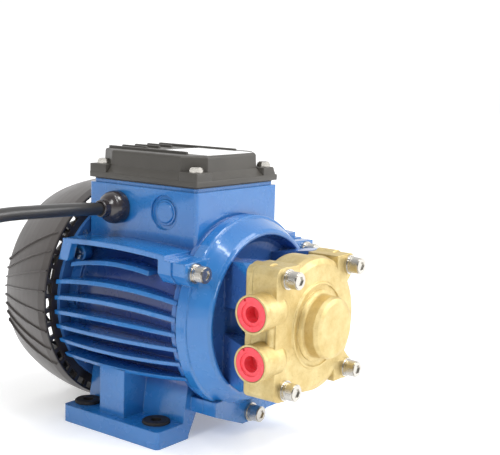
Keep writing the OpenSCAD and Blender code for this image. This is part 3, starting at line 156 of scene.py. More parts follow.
def ramp(made, value, low, high, start=0.0, end=1.0, kind="LINEAR"):
    spread = node_of(made, "ShaderNodeMapRange", clamp=True, interpolation_type=kind)
    for key, number in (("From Min", low), ("From Max", high), ("To Min", start), ("To Max", end)):
        spread.inputs[key].default_value = number
    wire(made, value, spread.inputs["Value"])
    return spread.outputs["Result"]


def uneven_gloss(made, patch_mm, least, most, stretch=(1, 1, 1)):
    patches = noise(made, patch_mm, stretch=stretch)
    roughness = ramp(made, patches, patch_low, patch_high, least, most)
    wire(made, roughness, shader_of(made).inputs["Roughness"])


def relief(made, grains, edge_mm=0.0):
    normal = None
    if edge_mm:
        rounded = node_of(made, "ShaderNodeBevel", samples=edge_samples)
        rounded.inputs["Radius"].default_value = edge_mm * mm
        normal = rounded.outputs["Normal"]
    for grain in grains:
        bump = node_of(made, "ShaderNodeBump")
        bump.inputs["Strength"].default_value = 1.0
        bump.inputs["Distance"].default_value = grain.pop("depth_mm") * mm
        wire(made, noise(made, **grain), bump.inputs["Height"])
        if normal:
            wire(made, normal, bump.inputs["Normal"])
        normal = bump.outputs["Normal"]
    wire(made, normal, shader_of(made).inputs["Normal"])


def curve_point(a, b, c, d, t):
    return tuple(
        0.5 * (2 * q + (r - p) * t + (2 * p - 5 * q + 4 * r - s) * t * t + (3 * q - p - 3 * r + s) * t ** 3)
        for p, q, r, s in zip(a, b, c, d)
    )


def smooth_line(points, steps):
    last = len(points) - 1
    line = []
    for i in range(last):
        a, d = points[max(0, i - 1)], points[min(last, i + 2)]
        line += [curve_point(a, points[i], points[i + 1], d, k / steps) for k in range(steps)]
    return line + [points[last]]


def coil_route():
    turns = 2 * coil_turns + half_loop
    mid_x = -box_half - gland_len - lead_points[-1][0]
    places = []
    for i in range(1, int(turns * loop_points) + 1):
        t = i / loop_points
        angle = -math.pi / 2 - t * full_turn
        radius = coil_r - coil_pitch * min(t, turns - t)
        down = min(1, max(0, (t - coil_turns) / half_loop))
        places.append((
            mid_x + radius * math.cos(angle), gland_y + coil_r + radius * math.sin(angle),
            cord_r + layer_rise * (1 - down),
        ))
    for i in range(1, tail_points + 1):
        s = i / tail_points
        lift = (1 - math.cos(min(1, s * tail_rate) * math.pi)) / 2
        places.append((
            mid_x + s * tail_len, gland_y + 2 * coil_r, cord_r + (plug_z - cord_r) * lift,
        ))
    return places


lead_route = [(-box_half - gland_len - out, gland_y, z) for out, z in smooth_line(lead_points, lead_steps)]
route = [tuple(v * mm for v in p) for p in lead_route + coil_route()]
cord_line = bpy.data.curves.new("supply_cord", "CURVE")
cord_line.dimensions = "3D"
cord_line.bevel_depth = cord_r * mm
cord_line.bevel_resolution = cord_facets
cord_line.use_fill_caps = True
strand = cord_line.splines.new("POLY")
strand.points.add(len(route) - 1)
for point, place in zip(strand.points, route):
    point.co = (*place, 1)
strand.use_smooth = True
supply_cord = placed("supply_cord", cord_line)
cord_rubber = finish("cord_rubber", (0.018, 0.017, 0.017), rough=0.34, coat=0.25, coat_rough=0.3)
uneven_gloss(cord_rubber, patch_mm=6, least=0.28, most=0.42)
relief(cord_rubber, [dict(size_mm=1.2, depth_mm=0.02)])
cord_line.materials.append(cord_rubber)
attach(supply_cord, "pump")
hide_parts("cord_lead", "cord_coil")

# Mains plug
# A moulded rubber plug with two round plated pins, made in one piece with the cord's end.
# Its neck tapers down on to the cord, so that the cord can't kink where it leaves the body.


def dress(made, *names):
    for name in names:
        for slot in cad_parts[name].material_slots:
            slot.material = made


plug_rubber = finish("plug_rubber", (0.02, 0.02, 0.02), rough=0.42)
uneven_gloss(plug_rubber, patch_mm=4, least=0.36, most=0.5)
relief(plug_rubber, [dict(size_mm=0.5, depth_mm=0.015)], edge_mm=0.6)
dress(plug_rubber, "mains_plug")
pin_metal = finish("pin_metal", (0.72, 0.71, 0.69), rough=0.22, metal=1.0)
uneven_gloss(pin_metal, patch_mm=3, least=0.16, most=0.3)
dress(pin_metal, "plug_pins")

# Floor and light
# A white bench in a white tent that is dimmer on the camera's side but bright all round near
# the bench, with one soft sun high in front and three panels. The panels give the enamel and
# the plated heads their long highlights.
floor_half = 6.0
bench_glow = 0.3
tent_bright_side = (0.78, 0.62, 0.0)
tent_from = -0.35
tent_to = 0.55
tent_least = 0.3
tent_most = 1.02
haze_from = 0.1
haze_to = 0.22
haze_strength = 1.0
sun_at = (0.35, -0.75, 1.5)
sun_spread = math.radians(22)
sun_strength = 1.25
panel_target = (0, 0, 0.08)
panels = [
    ("panel_right", (0.75, -1.15, 0.75), 0.7, 0.7, 10),
    ("panel_left", (-1.2, -0.1, 0.9), 0.3, 0.6, 6),
    ("panel_strip", (-0.25, -0.45, 1.1), 0.05, 1.3, 3.5),
]
bench_mesh = bpy.data.meshes.new("bench")
corner_signs = [(-1, -1), (1, -1), (1, 1), (-1, 1)]
bench_corners = [(sx * floor_half, sy * floor_half, 0) for sx, sy in corner_signs]
bench_mesh.from_pydata(bench_corners, [], [(0, 1, 2, 3)])
bench = placed("bench", bench_mesh)
bench_white = finish("bench_white", (0.9, 0.9, 0.9), rough=0.8)
shader_of(bench_white).inputs["Emission Color"].default_value = (1, 1, 1, 1)
shader_of(bench_white).inputs["Emission Strength"].default_value = bench_glow
uneven_gloss(bench_white, patch_mm=60, least=0.75, most=0.85)
bench_mesh.materials.append(bench_white)
tent = bpy.data.worlds.new("tent")
tent.use_nodes = True
tent_wall = tent.node_tree.nodes["Background"]
tent_wall.inputs["Color"].default_value = (1, 1, 1, 1)
tent_way = node_of(tent, "ShaderNodeTexCoord").outputs["Generated"]
tent_side = node_of(tent, "ShaderNodeVectorMath", operation="DOT_PRODUCT")
tent_side.inputs[1].default_value = tent_bright_side
wire(tent, tent_way, tent_side.inputs[0])
tent_axes = node_of(tent, "ShaderNodeSeparateXYZ")
wire(tent, tent_way, tent_axes.inputs["Vector"])
tent_fade = ramp(tent, tent_side.outputs["Value"], tent_from, tent_to, tent_least, tent_most, "SMOOTHSTEP")
tent_haze = ramp(tent, tent_axes.outputs["Z"], haze_from, haze_to, haze_strength, 0.0)
tent_strength = node_of(tent, "ShaderNodeMath", operation="MAXIMUM")
wire(tent, tent_fade, tent_strength.inputs[0])
wire(tent, tent_haze, tent_strength.inputs[1])
wire(tent, tent_strength.outputs["Value"], tent_wall.inputs["Strength"])
bpy.context.scene.world = tent
bpy.context.scene.view_settings.view_transform = "Standard"


def aim(lamp, at, towards):
    lamp.location = at
    lamp.rotation_euler = (Vector(towards) - Vector(at)).to_track_quat("-Z", "Y").to_euler()


sun_light = bpy.data.lights.new("soft_sun", "SUN")
sun_light.angle = sun_spread
sun_light.energy = sun_strength
aim(placed("soft_sun", sun_light), sun_at, (0, 0, 0))
for name, at, wide, high, watts in panels:
    panel = bpy.data.lights.new(name, "AREA")
    panel.shape = "RECTANGLE"
    panel.size = wide
    panel.size_y = high
    panel.energy = watts
    aim(placed(name, panel), at, panel_target)

# Stator and rotor
# Stacks of thin electrical sheet, with enamelled copper coils in the stator's slots and end
# rings of cast aluminium on the rotor.
sheet_grain = (0.05, 1, 0.05)


def mixed(made, amount, first, second):
    mixer = node_of(made, "ShaderNodeMix", data_type="RGBA")
    wire(made, amount, mixer.inputs["Factor"])
    for socket, colour in ((mixer.inputs["A"], first), (mixer.inputs["B"], second)):
        if isinstance(colour, tuple):
            socket.default_value = (*colour, 1)
        else:
            wire(made, colour, socket)
    return mixer.outputs["Result"]


def two_tones(made, first, second, patch_mm, low, high, stretch=(1, 1, 1)):
    return mixed(made, ramp(made, noise(made, patch_mm, stretch=stretch), low, high), first, second)


def paint(made, colour):
    wire(made, colour, shader_of(made).inputs["Base Color"])


lamination = finish("lamination", (0.3, 0.31, 0.33), rough=0.5, metal=1.0)
paint(lamination, two_tones(
    lamination, (0.24, 0.25, 0.27), (0.36, 0.37, 0.39), patch_mm=0.5, low=0.4, high=0.6, stretch=sheet_grain,
))
dress(lamination, "stator_core", "rotor_core")
copper_wire = finish("copper_wire", (0.62, 0.25, 0.1), rough=0.35, metal=0.8)
paint(copper_wire, two_tones(
    copper_wire, (0.45, 0.16, 0.06), (0.7, 0.3, 0.12), patch_mm=1.2, low=0.4, high=0.6,
))
relief(copper_wire, [dict(size_mm=0.8, depth_mm=0.2)])
dress(copper_wire, "stator_windings")
bare_casting = finish("bare_casting", (0.62, 0.63, 0.65), rough=0.5, metal=1.0)
uneven_gloss(bare_casting, patch_mm=2, least=0.42, most=0.6)
dress(bare_casting, "rotor_end_rings")

# Shaft, bearings and rings
# Ground steel. The bearings sit in the bracket and the rear end shield, and the shaft shows
# between the bracket and the pump's back plate. The key, the circlips and the fan cover's
# small screws are of steel too.
ground_steel = finish("ground_steel", (0.56, 0.57, 0.58), rough=0.25, metal=1.0)
uneven_gloss(ground_steel, patch_mm=3, least=0.2, most=0.32)
relief(ground_steel, [dict(size_mm=0.8, depth_mm=0.008)], edge_mm=0.3)
dress(ground_steel, "shaft", "front_bearing_outer", "front_bearing_balls", "front_bearing_inner",
      "rear_bearing_outer", "rear_bearing_balls", "rear_bearing_inner", "wave_washer",
      "impeller_key", "impeller_circlip", "fan_circlip", "fan_cover_screws")

# Motor housing and front bracket
# Die cast aluminium, screwed together and then sprayed with one thick coat of blue gloss
# enamel, which rounds the edges and pools in the corners. The real coat is one blue: the
# darker zones between the fins and in the dish stand for shade.
lid_low, lid_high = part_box("terminal_lid")
joint_gap = 3.0 * mm
joint_y = lid_low[1] - joint_gap
joint_soft = 0.5 * mm
fin_root_r = 55.5 * mm
fin_shade_r = 63.0 * mm
shade_from = 8.0 * mm
shade_to = 36.0 * mm
shade_rear_share = 0.45
dish_r = 49.0 * mm
dish_edge = 2.0 * mm
dish_soft = 3.0 * mm
dish_shade_share = 0.85
coat_deep = (0.013, 0.14, 0.415)
coat_light = (0.02, 0.165, 0.455)
fin_shade = (0.024, 0.064, 0.26)
dish_shade = (0.04, 0.11, 0.36)
enamel_blue = finish("enamel_blue", (0.045, 0.185, 0.49), rough=0.24, coat=0.65, coat_rough=0.08)
enamel_patch = ramp(enamel_blue, noise(enamel_blue, size_mm=35, detail=4), low=0.35, high=0.65)
fin_way = node_of(enamel_blue, "ShaderNodeMapping")
fin_way.inputs["Location"].default_value = (0, 0, -shaft_z * mm)
fin_way.inputs["Scale"].default_value = (1, 0, 1)
wire(enamel_blue, place_of(enamel_blue), fin_way.inputs["Vector"])
fin_reach = node_of(enamel_blue, "ShaderNodeVectorMath", operation="LENGTH")
wire(enamel_blue, fin_way.outputs["Vector"], fin_reach.inputs[0])
fin_axes = node_of(enamel_blue, "ShaderNodeSeparateXYZ")
wire(enamel_blue, place_of(enamel_blue), fin_axes.inputs["Vector"])


def enamel_zone(reach_from, reach_to, stretches):
    zone = ramp(enamel_blue, fin_reach.outputs["Value"], reach_from, reach_to, 1.0, 0.0)
    for low, high, start, end in stretches:
        both = node_of(enamel_blue, "ShaderNodeMath", operation="MULTIPLY")
        wire(enamel_blue, zone, both.inputs[0])
        wire(enamel_blue, ramp(enamel_blue, fin_axes.outputs["Y"], low, high, start, end), both.inputs[1])
        zone = both.outputs["Value"]
    return zone


fin_zone = enamel_zone(fin_root_r, fin_shade_r, (
    (joint_y - joint_soft, joint_y + joint_soft, 0.0, 1.0), (shade_from, shade_to, 1.0, shade_rear_share),
))
dish_zone = enamel_zone(dish_r, dish_r + dish_edge, ((joint_y - dish_soft, joint_y, dish_shade_share, 0.0),))
enamel_coat = mixed(enamel_blue, enamel_patch, coat_deep, coat_light)
enamel_coat = mixed(enamel_blue, fin_zone, enamel_coat, fin_shade)
paint(enamel_blue, mixed(enamel_blue, dish_zone, enamel_coat, dish_shade))
uneven_gloss(enamel_blue, patch_mm=12, least=0.2, most=0.32)
relief(enamel_blue, [
    dict(size_mm=14, detail=2, depth_mm=0.12),
    dict(size_mm=4, detail=2, depth_mm=0.012),
], edge_mm=1.3)
dress(enamel_blue, "motor_housing", "bearing_bracket")

# Joint ring
# The turned edge of the housing's front flange, which stands just behind the bracket and leaves
# a fine groove at the joint. It is part of the casting and carries the same enamel.
ring_low = 57.2
ring_high = 59.7
ring_from = 0.9
ring_to = 4.7
ring_soft = 0.7
ring_sides = 180
ring_steps = 4


def circle(sides):
    return [(math.cos(full_turn * k / sides), math.sin(full_turn * k / sides)) for k in range(sides)]


def quarter_turn(steps):
    turns = [k / steps * math.pi / 2 for k in range(steps + 1)]
    return [(1 - math.cos(turn), 1 - math.sin(turn)) for turn in turns]


def piece_from(form, name, material, smooth=True):
    bmesh.ops.recalc_face_normals(form, faces=form.faces)
    mesh = bpy.data.meshes.new(name)
    form.to_mesh(mesh)
    form.free()
    for face in mesh.polygons:
        face.use_smooth = smooth
    mesh.materials.append(material)
    return placed(name, mesh)


def lathe(name, profile, sides, material, place):
    form = bmesh.new()
    rings = [
        [form.verts.new(place(along, out * across, out * up)) for across, up in circle(sides)]
        for along, out in profile
    ]
    for first, second in zip(rings, rings[1:]):
        for k in range(sides):
            form.faces.new((first[k], second[k], second[(k + 1) % sides], first[(k + 1) % sides]))
    return piece_from(form, name, material)


ring_turn = quarter_turn(ring_steps)
ring_line = [(ring_from, ring_low)]
ring_line += [(ring_from + ring_soft * inward, ring_high - ring_soft * down) for inward, down in ring_turn]
ring_line += [(ring_to - ring_soft * down, ring_high - ring_soft * inward) for inward, down in ring_turn]
ring_line += [(ring_to, ring_low), (ring_from, ring_low)]
joint_ring = lathe(
    "joint_ring", ring_line, ring_sides, enamel_blue,
    lambda along, a, b: (a * mm, joint_y + along * mm, (shaft_z + b) * mm),
)
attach(joint_ring, "pump")

# Enamel runs
# Where the thick coat gathered before it set, small round beads of enamel stand on the barrel
# between the fins, near their rear ends.
run_count = 11
run_barrel_r = 54.9 * mm
run_first = math.radians(146)
run_step = math.radians(7.3)
run_rear = 31.0 * mm
run_spread = 5.5 * mm
run_long = 1.5 * mm
run_wide = 0.55 * mm
run_least_share = 0.7
run_more_share = 0.5
run_size_rate = 2.3
run_place_rate = 1.7
run_facets = 3
enamel_runs = bmesh.new()
for side in (-1, 1):
    for k in range(run_count):
        angle = run_first + run_step * k
        size = run_least_share + run_more_share * abs(math.sin(run_size_rate * k + side))
        out = Vector((math.cos(angle), 0, math.sin(angle)))
        spot = Vector((
            -side * run_barrel_r * out.x, run_rear - run_spread * abs(math.sin(run_place_rate * k)),
            shaft_z * mm + run_barrel_r * out.z,
        ))
        bead = bmesh.ops.create_icosphere(enamel_runs, subdivisions=run_facets, radius=1.0)
        shape = (
            Matrix.Translation(spot) @ Matrix.Rotation(side * (angle - math.pi), 4, "Y")
            @ Matrix.Diagonal((run_wide * size, run_wide * size, run_long * size, 1))
        )
        bmesh.ops.transform(enamel_runs, matrix=shape, verts=bead["verts"])
run_piece = piece_from(enamel_runs, "enamel_runs", enamel_blue)
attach(run_piece, "pump")

# Knockout discs
# Each cable entry that isn't used stays closed by a thin cast disc with a raised middle, which
# stands in a round groove of the box wall. The enamel runs over all of it.
knock_mid_y = (lid_low[1] + lid_high[1]) / 2
knock_reach = 19.5 * mm
knock_up = gland_z * mm
knock_sunk = 2.2 * mm
knock_proud = 0.25 * mm
knock_wide = 6.7 * mm
knock_soft = 0.9 * mm
knock_sides = 48
knock_steps = 5
knock_places = [(-1, -knock_reach), (1, -knock_reach), (1, knock_reach)]


def skin(form, rings):
    rows = [[form.verts.new(p) for p in ring] for ring in rings]
    for low, high in zip(rows, rows[1:]):
        for k in range(len(low)):
            after = (k + 1) % len(low)
            form.faces.new((low[k], low[after], high[after], high[k]))
    form.faces.new(rows[0][::-1])
    form.faces.new(rows[-1])


knock_levels = [(knock_sunk, knock_wide)]
for inward, down in quarter_turn(knock_steps):
    knock_levels.append((knock_proud + knock_soft * down, knock_wide - knock_soft * inward))
knock_discs = bmesh.new()
for side, along in knock_places:
    skin(knock_discs, [
        [
            (side * (box_half * mm - sunk), knock_mid_y + along + wide * across, knock_up + wide * up)
            for across, up in circle(knock_sides)
        ]
        for sunk, wide in knock_levels
    ])
knock_piece = piece_from(knock_discs, "knockout_discs", enamel_blue)
for face in knock_piece.data.polygons:
    face.use_smooth = len(face.vertices) == 4
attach(knock_piece, "pump")

# Rear end shield
# Cast aluminium, screwed to the back of the housing and sprayed with it: only the rim shows,
# as the fan cover hides the rest.
# Its blue is darker than the housing's enamel: painted shade for the rim, deep under the cover's flange.
shield_shaded_enamel = finish("shield_shaded_enamel", (0.035, 0.13, 0.36), rough=0.35, coat=0.3, coat_rough=0.1)
paint(shield_shaded_enamel, two_tones(
    shield_shaded_enamel, (0.03, 0.12, 0.33), (0.04, 0.14, 0.38), patch_mm=20, low=0.35, high=0.65,
))
relief(shield_shaded_enamel, [dict(size_mm=2.0, depth_mm=0.03)], edge_mm=0.6)
dress(shield_shaded_enamel, "rear_end_shield", "shield_screws")

# Cooling fan
# A small seven-bladed wheel of natural nylon on the shaft's rear end, kept there by a circlip.
# It shows through the windows and the grille of the fan cover.
fan_nylon = finish("fan_nylon", (0.8, 0.78, 0.7), rough=0.42)
uneven_gloss(fan_nylon, patch_mm=5, least=0.36, most=0.5)
relief(fan_nylon, [dict(size_mm=1.0, depth_mm=0.01)], edge_mm=0.4)
dress(fan_nylon, "cooling_fan")

# Fan cover
# A deep moulded drum of one dark plastic: the darker front flange here stands for shade. Fine
# slanting ribs stiffen its sides and run on round its rear corner. A ring of small windows
# lets the air out over the fins, and an open grille lets it in behind.
cover_r = 76.0
cover_drop = 8.0
cover_edge = 3.0
cover_y = 43.5
cover_len = 47.5
ridge_count = 8
ridge_mid = 1.0
ridge_front_step = 10.2
ridge_rear_step = 5.4
ridge_share = 0.97
ridge_span = ridge_share * cover_len
bead_centre = 0.45
bead_high = 0.75
bead_half = 0.55
bead_sink = 1.3
bead_from_share = 0.3
bead_steps = 10
bead_turns = 6
bead_first = math.radians(25)
bead_last = math.radians(62)
bead_sides = 8
flange_from = 44.2 * mm
flange_to = 44.6 * mm
flange_shade = (0.022, 0.017, 0.016)
cover_dark = finish("cover_dark", (0.07, 0.062, 0.058), rough=0.34, coat=0.2, coat_rough=0.25)
cover_side = two_tones(
    cover_dark, (0.062, 0.055, 0.052), (0.08, 0.071, 0.067), patch_mm=40, low=0.3, high=0.7,
)
cover_axes = node_of(cover_dark, "ShaderNodeSeparateXYZ")
wire(cover_dark, place_of(cover_dark), cover_axes.inputs["Vector"])
flange_side = ramp(cover_dark, cover_axes.outputs["Y"], flange_from, flange_to)
paint(cover_dark, mixed(cover_dark, flange_side, flange_shade, cover_side))
uneven_gloss(cover_dark, patch_mm=14, least=0.3, most=0.42)
relief(cover_dark, [dict(size_mm=0.8, depth_mm=0.025)], edge_mm=0.5)
dress(cover_dark, "fan_cover")
bead_spots = []
for k in range(bead_steps + 1):
    share = bead_from_share + (1 - bead_from_share) * k / bead_steps
    bead_spots.append((
        cover_r - cover_drop * share ** 2, cover_y + (cover_len - cover_edge) * share,
        math.atan2(2 * cover_drop * share, cover_len - cover_edge), 0.0 if k else bead_sink,
    ))
for k in range(bead_turns + 1):
    turn = bead_first + (bead_last - bead_first) * k / bead_turns
    bead_spots.append((
        cover_r - cover_drop - cover_edge + cover_edge * math.cos(turn),
        cover_y + cover_len - cover_edge + cover_edge * math.sin(turn),
        turn, bead_sink if k == bead_turns else 0.0,
    ))


def ridge_ring(side, row, spot):
    out, back, tilt, sink = spot
    ahead = ridge_mid + row * ridge_front_step
    behind = ridge_mid + row * ridge_rear_step
    run = cover_r * math.sin(math.radians(ahead - behind))
    aside = (cover_y + ridge_span / 2 - back) * run / ridge_span
    angle = math.radians((ahead + behind) / 2) + math.asin(aside / out)
    ring = []
    for up, across in circle(bead_sides):
        rise = bead_centre - sink + bead_high * up
        wide = bead_half * across
        reach = out + rise * math.cos(tilt)
        ring.append((
            side * (reach * math.cos(angle) - wide * math.sin(angle)) * mm,
            (back + rise * math.sin(tilt)) * mm,
            (shaft_z + reach * math.sin(angle) + wide * math.cos(angle)) * mm,
        ))
    return ring


ridge_form = bmesh.new()
for side in (-1, 1):
    for k in range(ridge_count):
        skin(ridge_form, [ridge_ring(side, k - (ridge_count - 1) / 2, spot) for spot in bead_spots])
cover_ridges = piece_from(ridge_form, "cover_ridges", cover_dark)
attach(cover_ridges, "pump")

# Foot grommets
# Four moulded rubber bushes that line the foot holes, so that the motor stands quietly. Their
# round heads stand on the feet.
grommet_rubber = finish("grommet_rubber", (0.014, 0.012, 0.012), rough=0.62)
paint(grommet_rubber, two_tones(
    grommet_rubber, (0.011, 0.01, 0.01), (0.022, 0.018, 0.017), patch_mm=3, low=0.4, high=0.7,
))
relief(grommet_rubber, [dict(size_mm=1.5, depth_mm=0.06)], edge_mm=0.6)
dress(grommet_rubber, "foot_grommets")

# Nameplate
# A thin plain sheet of bare metal on the housing's far side, brushed along its length and held
# by two copper rivets.
brushed = (1, 0.08, 1)
plate_sheet = finish("plate_sheet", (0.66, 0.65, 0.61), rough=0.35, metal=1.0)
uneven_gloss(plate_sheet, patch_mm=2, least=0.26, most=0.42, stretch=brushed)
relief(plate_sheet, [dict(size_mm=0.6, stretch=brushed, depth_mm=0.01)], edge_mm=0.2)
dress(plate_sheet, "nameplate")
rivet_copper = finish("rivet_copper", (0.72, 0.34, 0.2), rough=0.3, metal=1.0)
uneven_gloss(rivet_copper, patch_mm=2, least=0.24, most=0.38)
dress(rivet_copper, "nameplate_rivets")

# Terminal board
# A moulded board of brown thermoset inside the terminal box. It carries six turned brass studs
# for the links.
board_brown = finish("board_brown", (0.25, 0.06, 0.03), rough=0.4)
uneven_gloss(board_brown, patch_mm=4, least=0.34, most=0.5)
relief(board_brown, [dict(size_mm=0.8, depth_mm=0.01)], edge_mm=0.4)
dress(board_brown, "terminal_board")
turned_brass = finish("turned_brass", (0.74, 0.54, 0.24), rough=0.28, metal=1.0)
uneven_gloss(turned_brass, patch_mm=2, least=0.22, most=0.36)
dress(turned_brass, "terminal_studs")

# Terminal box lid
# A moulded lid of grey-brown plastic with cut corners, on a rubber gasket and held by four
# plated pan-head screws. A plain white label lies in its shallow pocket.
lid_x = (lid_high[0] - lid_low[0]) / 2
lid_y0, lid_y1 = lid_low[1], lid_high[1]
lid_base = lid_low[2]
rib_high = 1.6 * mm
dome_high = lid_high[2] - lid_base - rib_high
rim_high = 3.8 * mm
rim_inset = 0.7 * mm
band_high = 8.2 * mm
dome_side = 4.0 * mm
dome_front = 5.2 * mm
dome_rear = 0.9 * mm
front_cut = 12.0 * mm
rear_cut_x = 8.5 * mm
rear_cut_y = 15.0 * mm
dome_lean = 0.4 * mm
dome_round = 1.8 * mm
corner_round = 1.6 * mm
corner_steps = 4
round_steps = 6
band_steps = 3
band_bow = 1.25
pad_side = 14.5 * mm
pad_high = 8.7 * mm
pad_slope = 4.0 * mm
pad_in = 0.15 * mm
edge_round = 0.6 * mm
edge_steps = 3
edge_profile = 0.5
rib_wide = 2.2 * mm
rib_shares = (-0.66, -0.33, 0, 0.33, 0.66)
rib_long = 67.0 * mm
rib_short = 22.0 * mm
rib_back = 1.0 * mm
lid_crease = math.radians(28)


def dome_corners(inset, spread):
    x = lid_x - dome_side - inset + spread * (dome_side - rim_inset)
    y0 = lid_y0 + dome_front + inset - spread * (dome_front - rim_inset)
    y1 = lid_y1 - dome_rear - inset + spread * (dome_rear - rim_inset)
    cut = front_cut - inset * (2 - math.sqrt(2))
    rear_x = rear_cut_x - inset * (2 - math.sqrt(2))
    rear_y = rear_cut_y - inset * (2 - math.sqrt(2))
    return [
        (-x + cut, y0), (x - cut, y0), (x, y0 + cut), (x, y1 - rear_y),
        (x - rear_x, y1), (-x + rear_x, y1), (-x, y1 - rear_y), (-x, y0 + cut),
    ]


def rounded_ring(corners, radius, steps, z):
    ring = []
    count = len(corners)
    for i in range(count):
        before, here, after = (Vector(corners[(i + k) % count]) for k in (-1, 0, 1))
        come = (before - here).normalized()
        go = (after - here).normalized()
        half = come.angle(go) / 2
        reach = radius / math.tan(half)
        centre = here + (come + go).normalized() * radius / math.sin(half)
        start = here + come * reach - centre
        turn = math.pi - 2 * half
        side = 1 if come.x * go.y - come.y * go.x < 0 else -1
        for k in range(steps + 1):
            angle = side * turn * k / steps
            spot = centre + Matrix.Rotation(angle, 2) @ start
            ring.append((spot.x, spot.y, z))
    return ring


def soft_block(form, low, high, soft, lean=0.0):
    block = bmesh.new()
    spots = [
        (x - (lean if x > 0 and x == high[0] and z == high[2] else 0), y, z)
        for z in (low[2], high[2]) for y in (low[1], high[1]) for x in (low[0], high[0])
    ]
    corners = [block.verts.new(p) for p in spots]
    for face in ((0, 2, 3, 1), (4, 5, 7, 6), (0, 1, 5, 4), (2, 6, 7, 3), (0, 4, 6, 2), (1, 3, 7, 5)):
        block.faces.new([corners[k] for k in face])
    bmesh.ops.bevel(
        block, geom=block.edges[:], offset=soft, segments=edge_steps, profile=edge_profile, affect="EDGES",
    )
    small = bpy.data.meshes.new("block")
    block.to_mesh(small)
    block.free()
    form.from_mesh(small)
    bpy.data.meshes.remove(small)


lid_form = bmesh.new()
soft_block(lid_form, (-lid_x, lid_y0, lid_base), (lid_x, lid_y1, lid_base + rim_high), edge_round)
for x0, x1 in ((-lid_x + pad_in, -lid_x + pad_side), (lid_x - pad_side, lid_x - pad_in)):
    for y0, y1 in ((lid_y0 + pad_in, lid_y0 + pad_side), (lid_y1 - pad_side, lid_y1 - pad_in)):
        lean = pad_slope if x0 > 0 else 0.0
        soft_block(lid_form, (x0, y0, lid_base + rim_inset), (x1, y1, lid_base + pad_high), edge_round, lean)
dome_levels = [(0, 1, rim_high - edge_round)]
for k in range(band_steps + 1):
    climb = k / band_steps
    dome_levels.append((0, 1 - climb, rim_high + (band_high - rim_high) * climb ** band_bow))
for inward, down in quarter_turn(round_steps):
    dome_levels.append((dome_lean + dome_round * inward, 0, dome_high - dome_round * down))
skin(lid_form, [
    rounded_ring(
        dome_corners(inset, spread), max(corner_round - inset, edge_round), corner_steps, lid_base + z,
    )
    for inset, spread, z in dome_levels
])
for i, share in enumerate(rib_shares):
    x = share * (lid_x - dome_side)
    reach = rib_long if i in (0, len(rib_shares) - 1) else rib_short
    rear = lid_y1 - dome_rear - rib_back
    soft_block(
        lid_form, (x - rib_wide / 2, rear - reach, lid_base + dome_high - 2 * rib_high),
        (x + rib_wide / 2, rear, lid_base + dome_high + rib_high), edge_round,
    )
lid_brown = finish("lid_brown", (0.055, 0.051, 0.044), rough=0.4)
paint(lid_brown, two_tones(
    lid_brown, (0.05, 0.046, 0.04), (0.062, 0.057, 0.049), patch_mm=25, low=0.3, high=0.7,
))
uneven_gloss(lid_brown, patch_mm=10, least=0.36, most=0.5)
relief(lid_brown, [dict(size_mm=0.7, depth_mm=0.02)])
lid_shell = piece_from(lid_form, "lid_shell", lid_brown)
lid_shell.data.set_sharp_from_angle(angle=lid_crease)
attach(lid_shell, "pump")
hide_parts("terminal_lid")
label_film = finish("label_film", (0.92, 0.92, 0.91), rough=0.3)
paint(label_film, two_tones(
    label_film, (0.93, 0.93, 0.92), (0.88, 0.88, 0.87), patch_mm=14, low=0.45, high=0.8,
))
dress(label_film, "lid_label_plate")
gasket_rubber = finish("gasket_rubber", (0.02, 0.018, 0.018), rough=0.5)
uneven_gloss(gasket_rubber, patch_mm=4, least=0.4, most=0.6)
relief(gasket_rubber, [dict(size_mm=0.6, depth_mm=0.02)], edge_mm=0.3)
dress(gasket_rubber, "lid_gasket")

# Cable gland
# A moulded rubber boot pushed through the open cable entry. It swells to a glossy bulb outside
# the box and grips the cord with a short collar.
boot_shares = [
    (0, 0.93), (0.03, 0.98), (0.1, 1.0), (0.24, 1.0), (0.4, 0.96), (0.54, 0.86), (0.64, 0.72),
    (0.7, 0.58), (0.74, 0.53), (0.95, 0.52), (1.0, 0.48),
]
boot_r = 10.4
boot_gap = 0.05
boot_steps = 5
boot_sides = 72
boot_hole = cord_r + boot_gap
boot_line = [(gland_len * s, boot_r * r) for s, r in smooth_line(boot_shares, boot_steps)]
boot_rubber = finish("boot_rubber", (0.028, 0.022, 0.024), rough=0.2, coat=0.5, coat_rough=0.12)
uneven_gloss(boot_rubber, patch_mm=5, least=0.16, most=0.28)
relief(boot_rubber, [dict(size_mm=3, depth_mm=0.05)])
gland_boot = lathe(
    "gland_boot", [(0, boot_hole)] + boot_line + [(gland_len, boot_hole), (0, boot_hole)],
    boot_sides, boot_rubber,
    lambda along, a, b: ((-box_half - along) * mm, (gland_y + a) * mm, (gland_z + b) * mm),
)
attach(gland_boot, "pump")
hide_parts("cable_gland")

# Impeller and shaft seal
# A turned brass wheel with milled vanes, keyed to the shaft in front of the back plate. Behind
# it a carbon ring runs on a ceramic seat and keeps the coolant in. A rubber ring seals the
# casing, and a rubber slinger on the shaft throws off what leaks.
dress(turned_brass, "impeller")
seal_ceramic = finish("seal_ceramic", (0.8, 0.78, 0.72), rough=0.2)
uneven_gloss(seal_ceramic, patch_mm=2, least=0.16, most=0.26)
dress(seal_ceramic, "seal_seat")
seal_carbon = finish("seal_carbon", (0.03, 0.03, 0.03), rough=0.3)
uneven_gloss(seal_carbon, patch_mm=2, least=0.26, most=0.4)
dress(seal_carbon, "seal_rotating_ring")
dress(gasket_rubber, "casing_seal_ring", "slinger")

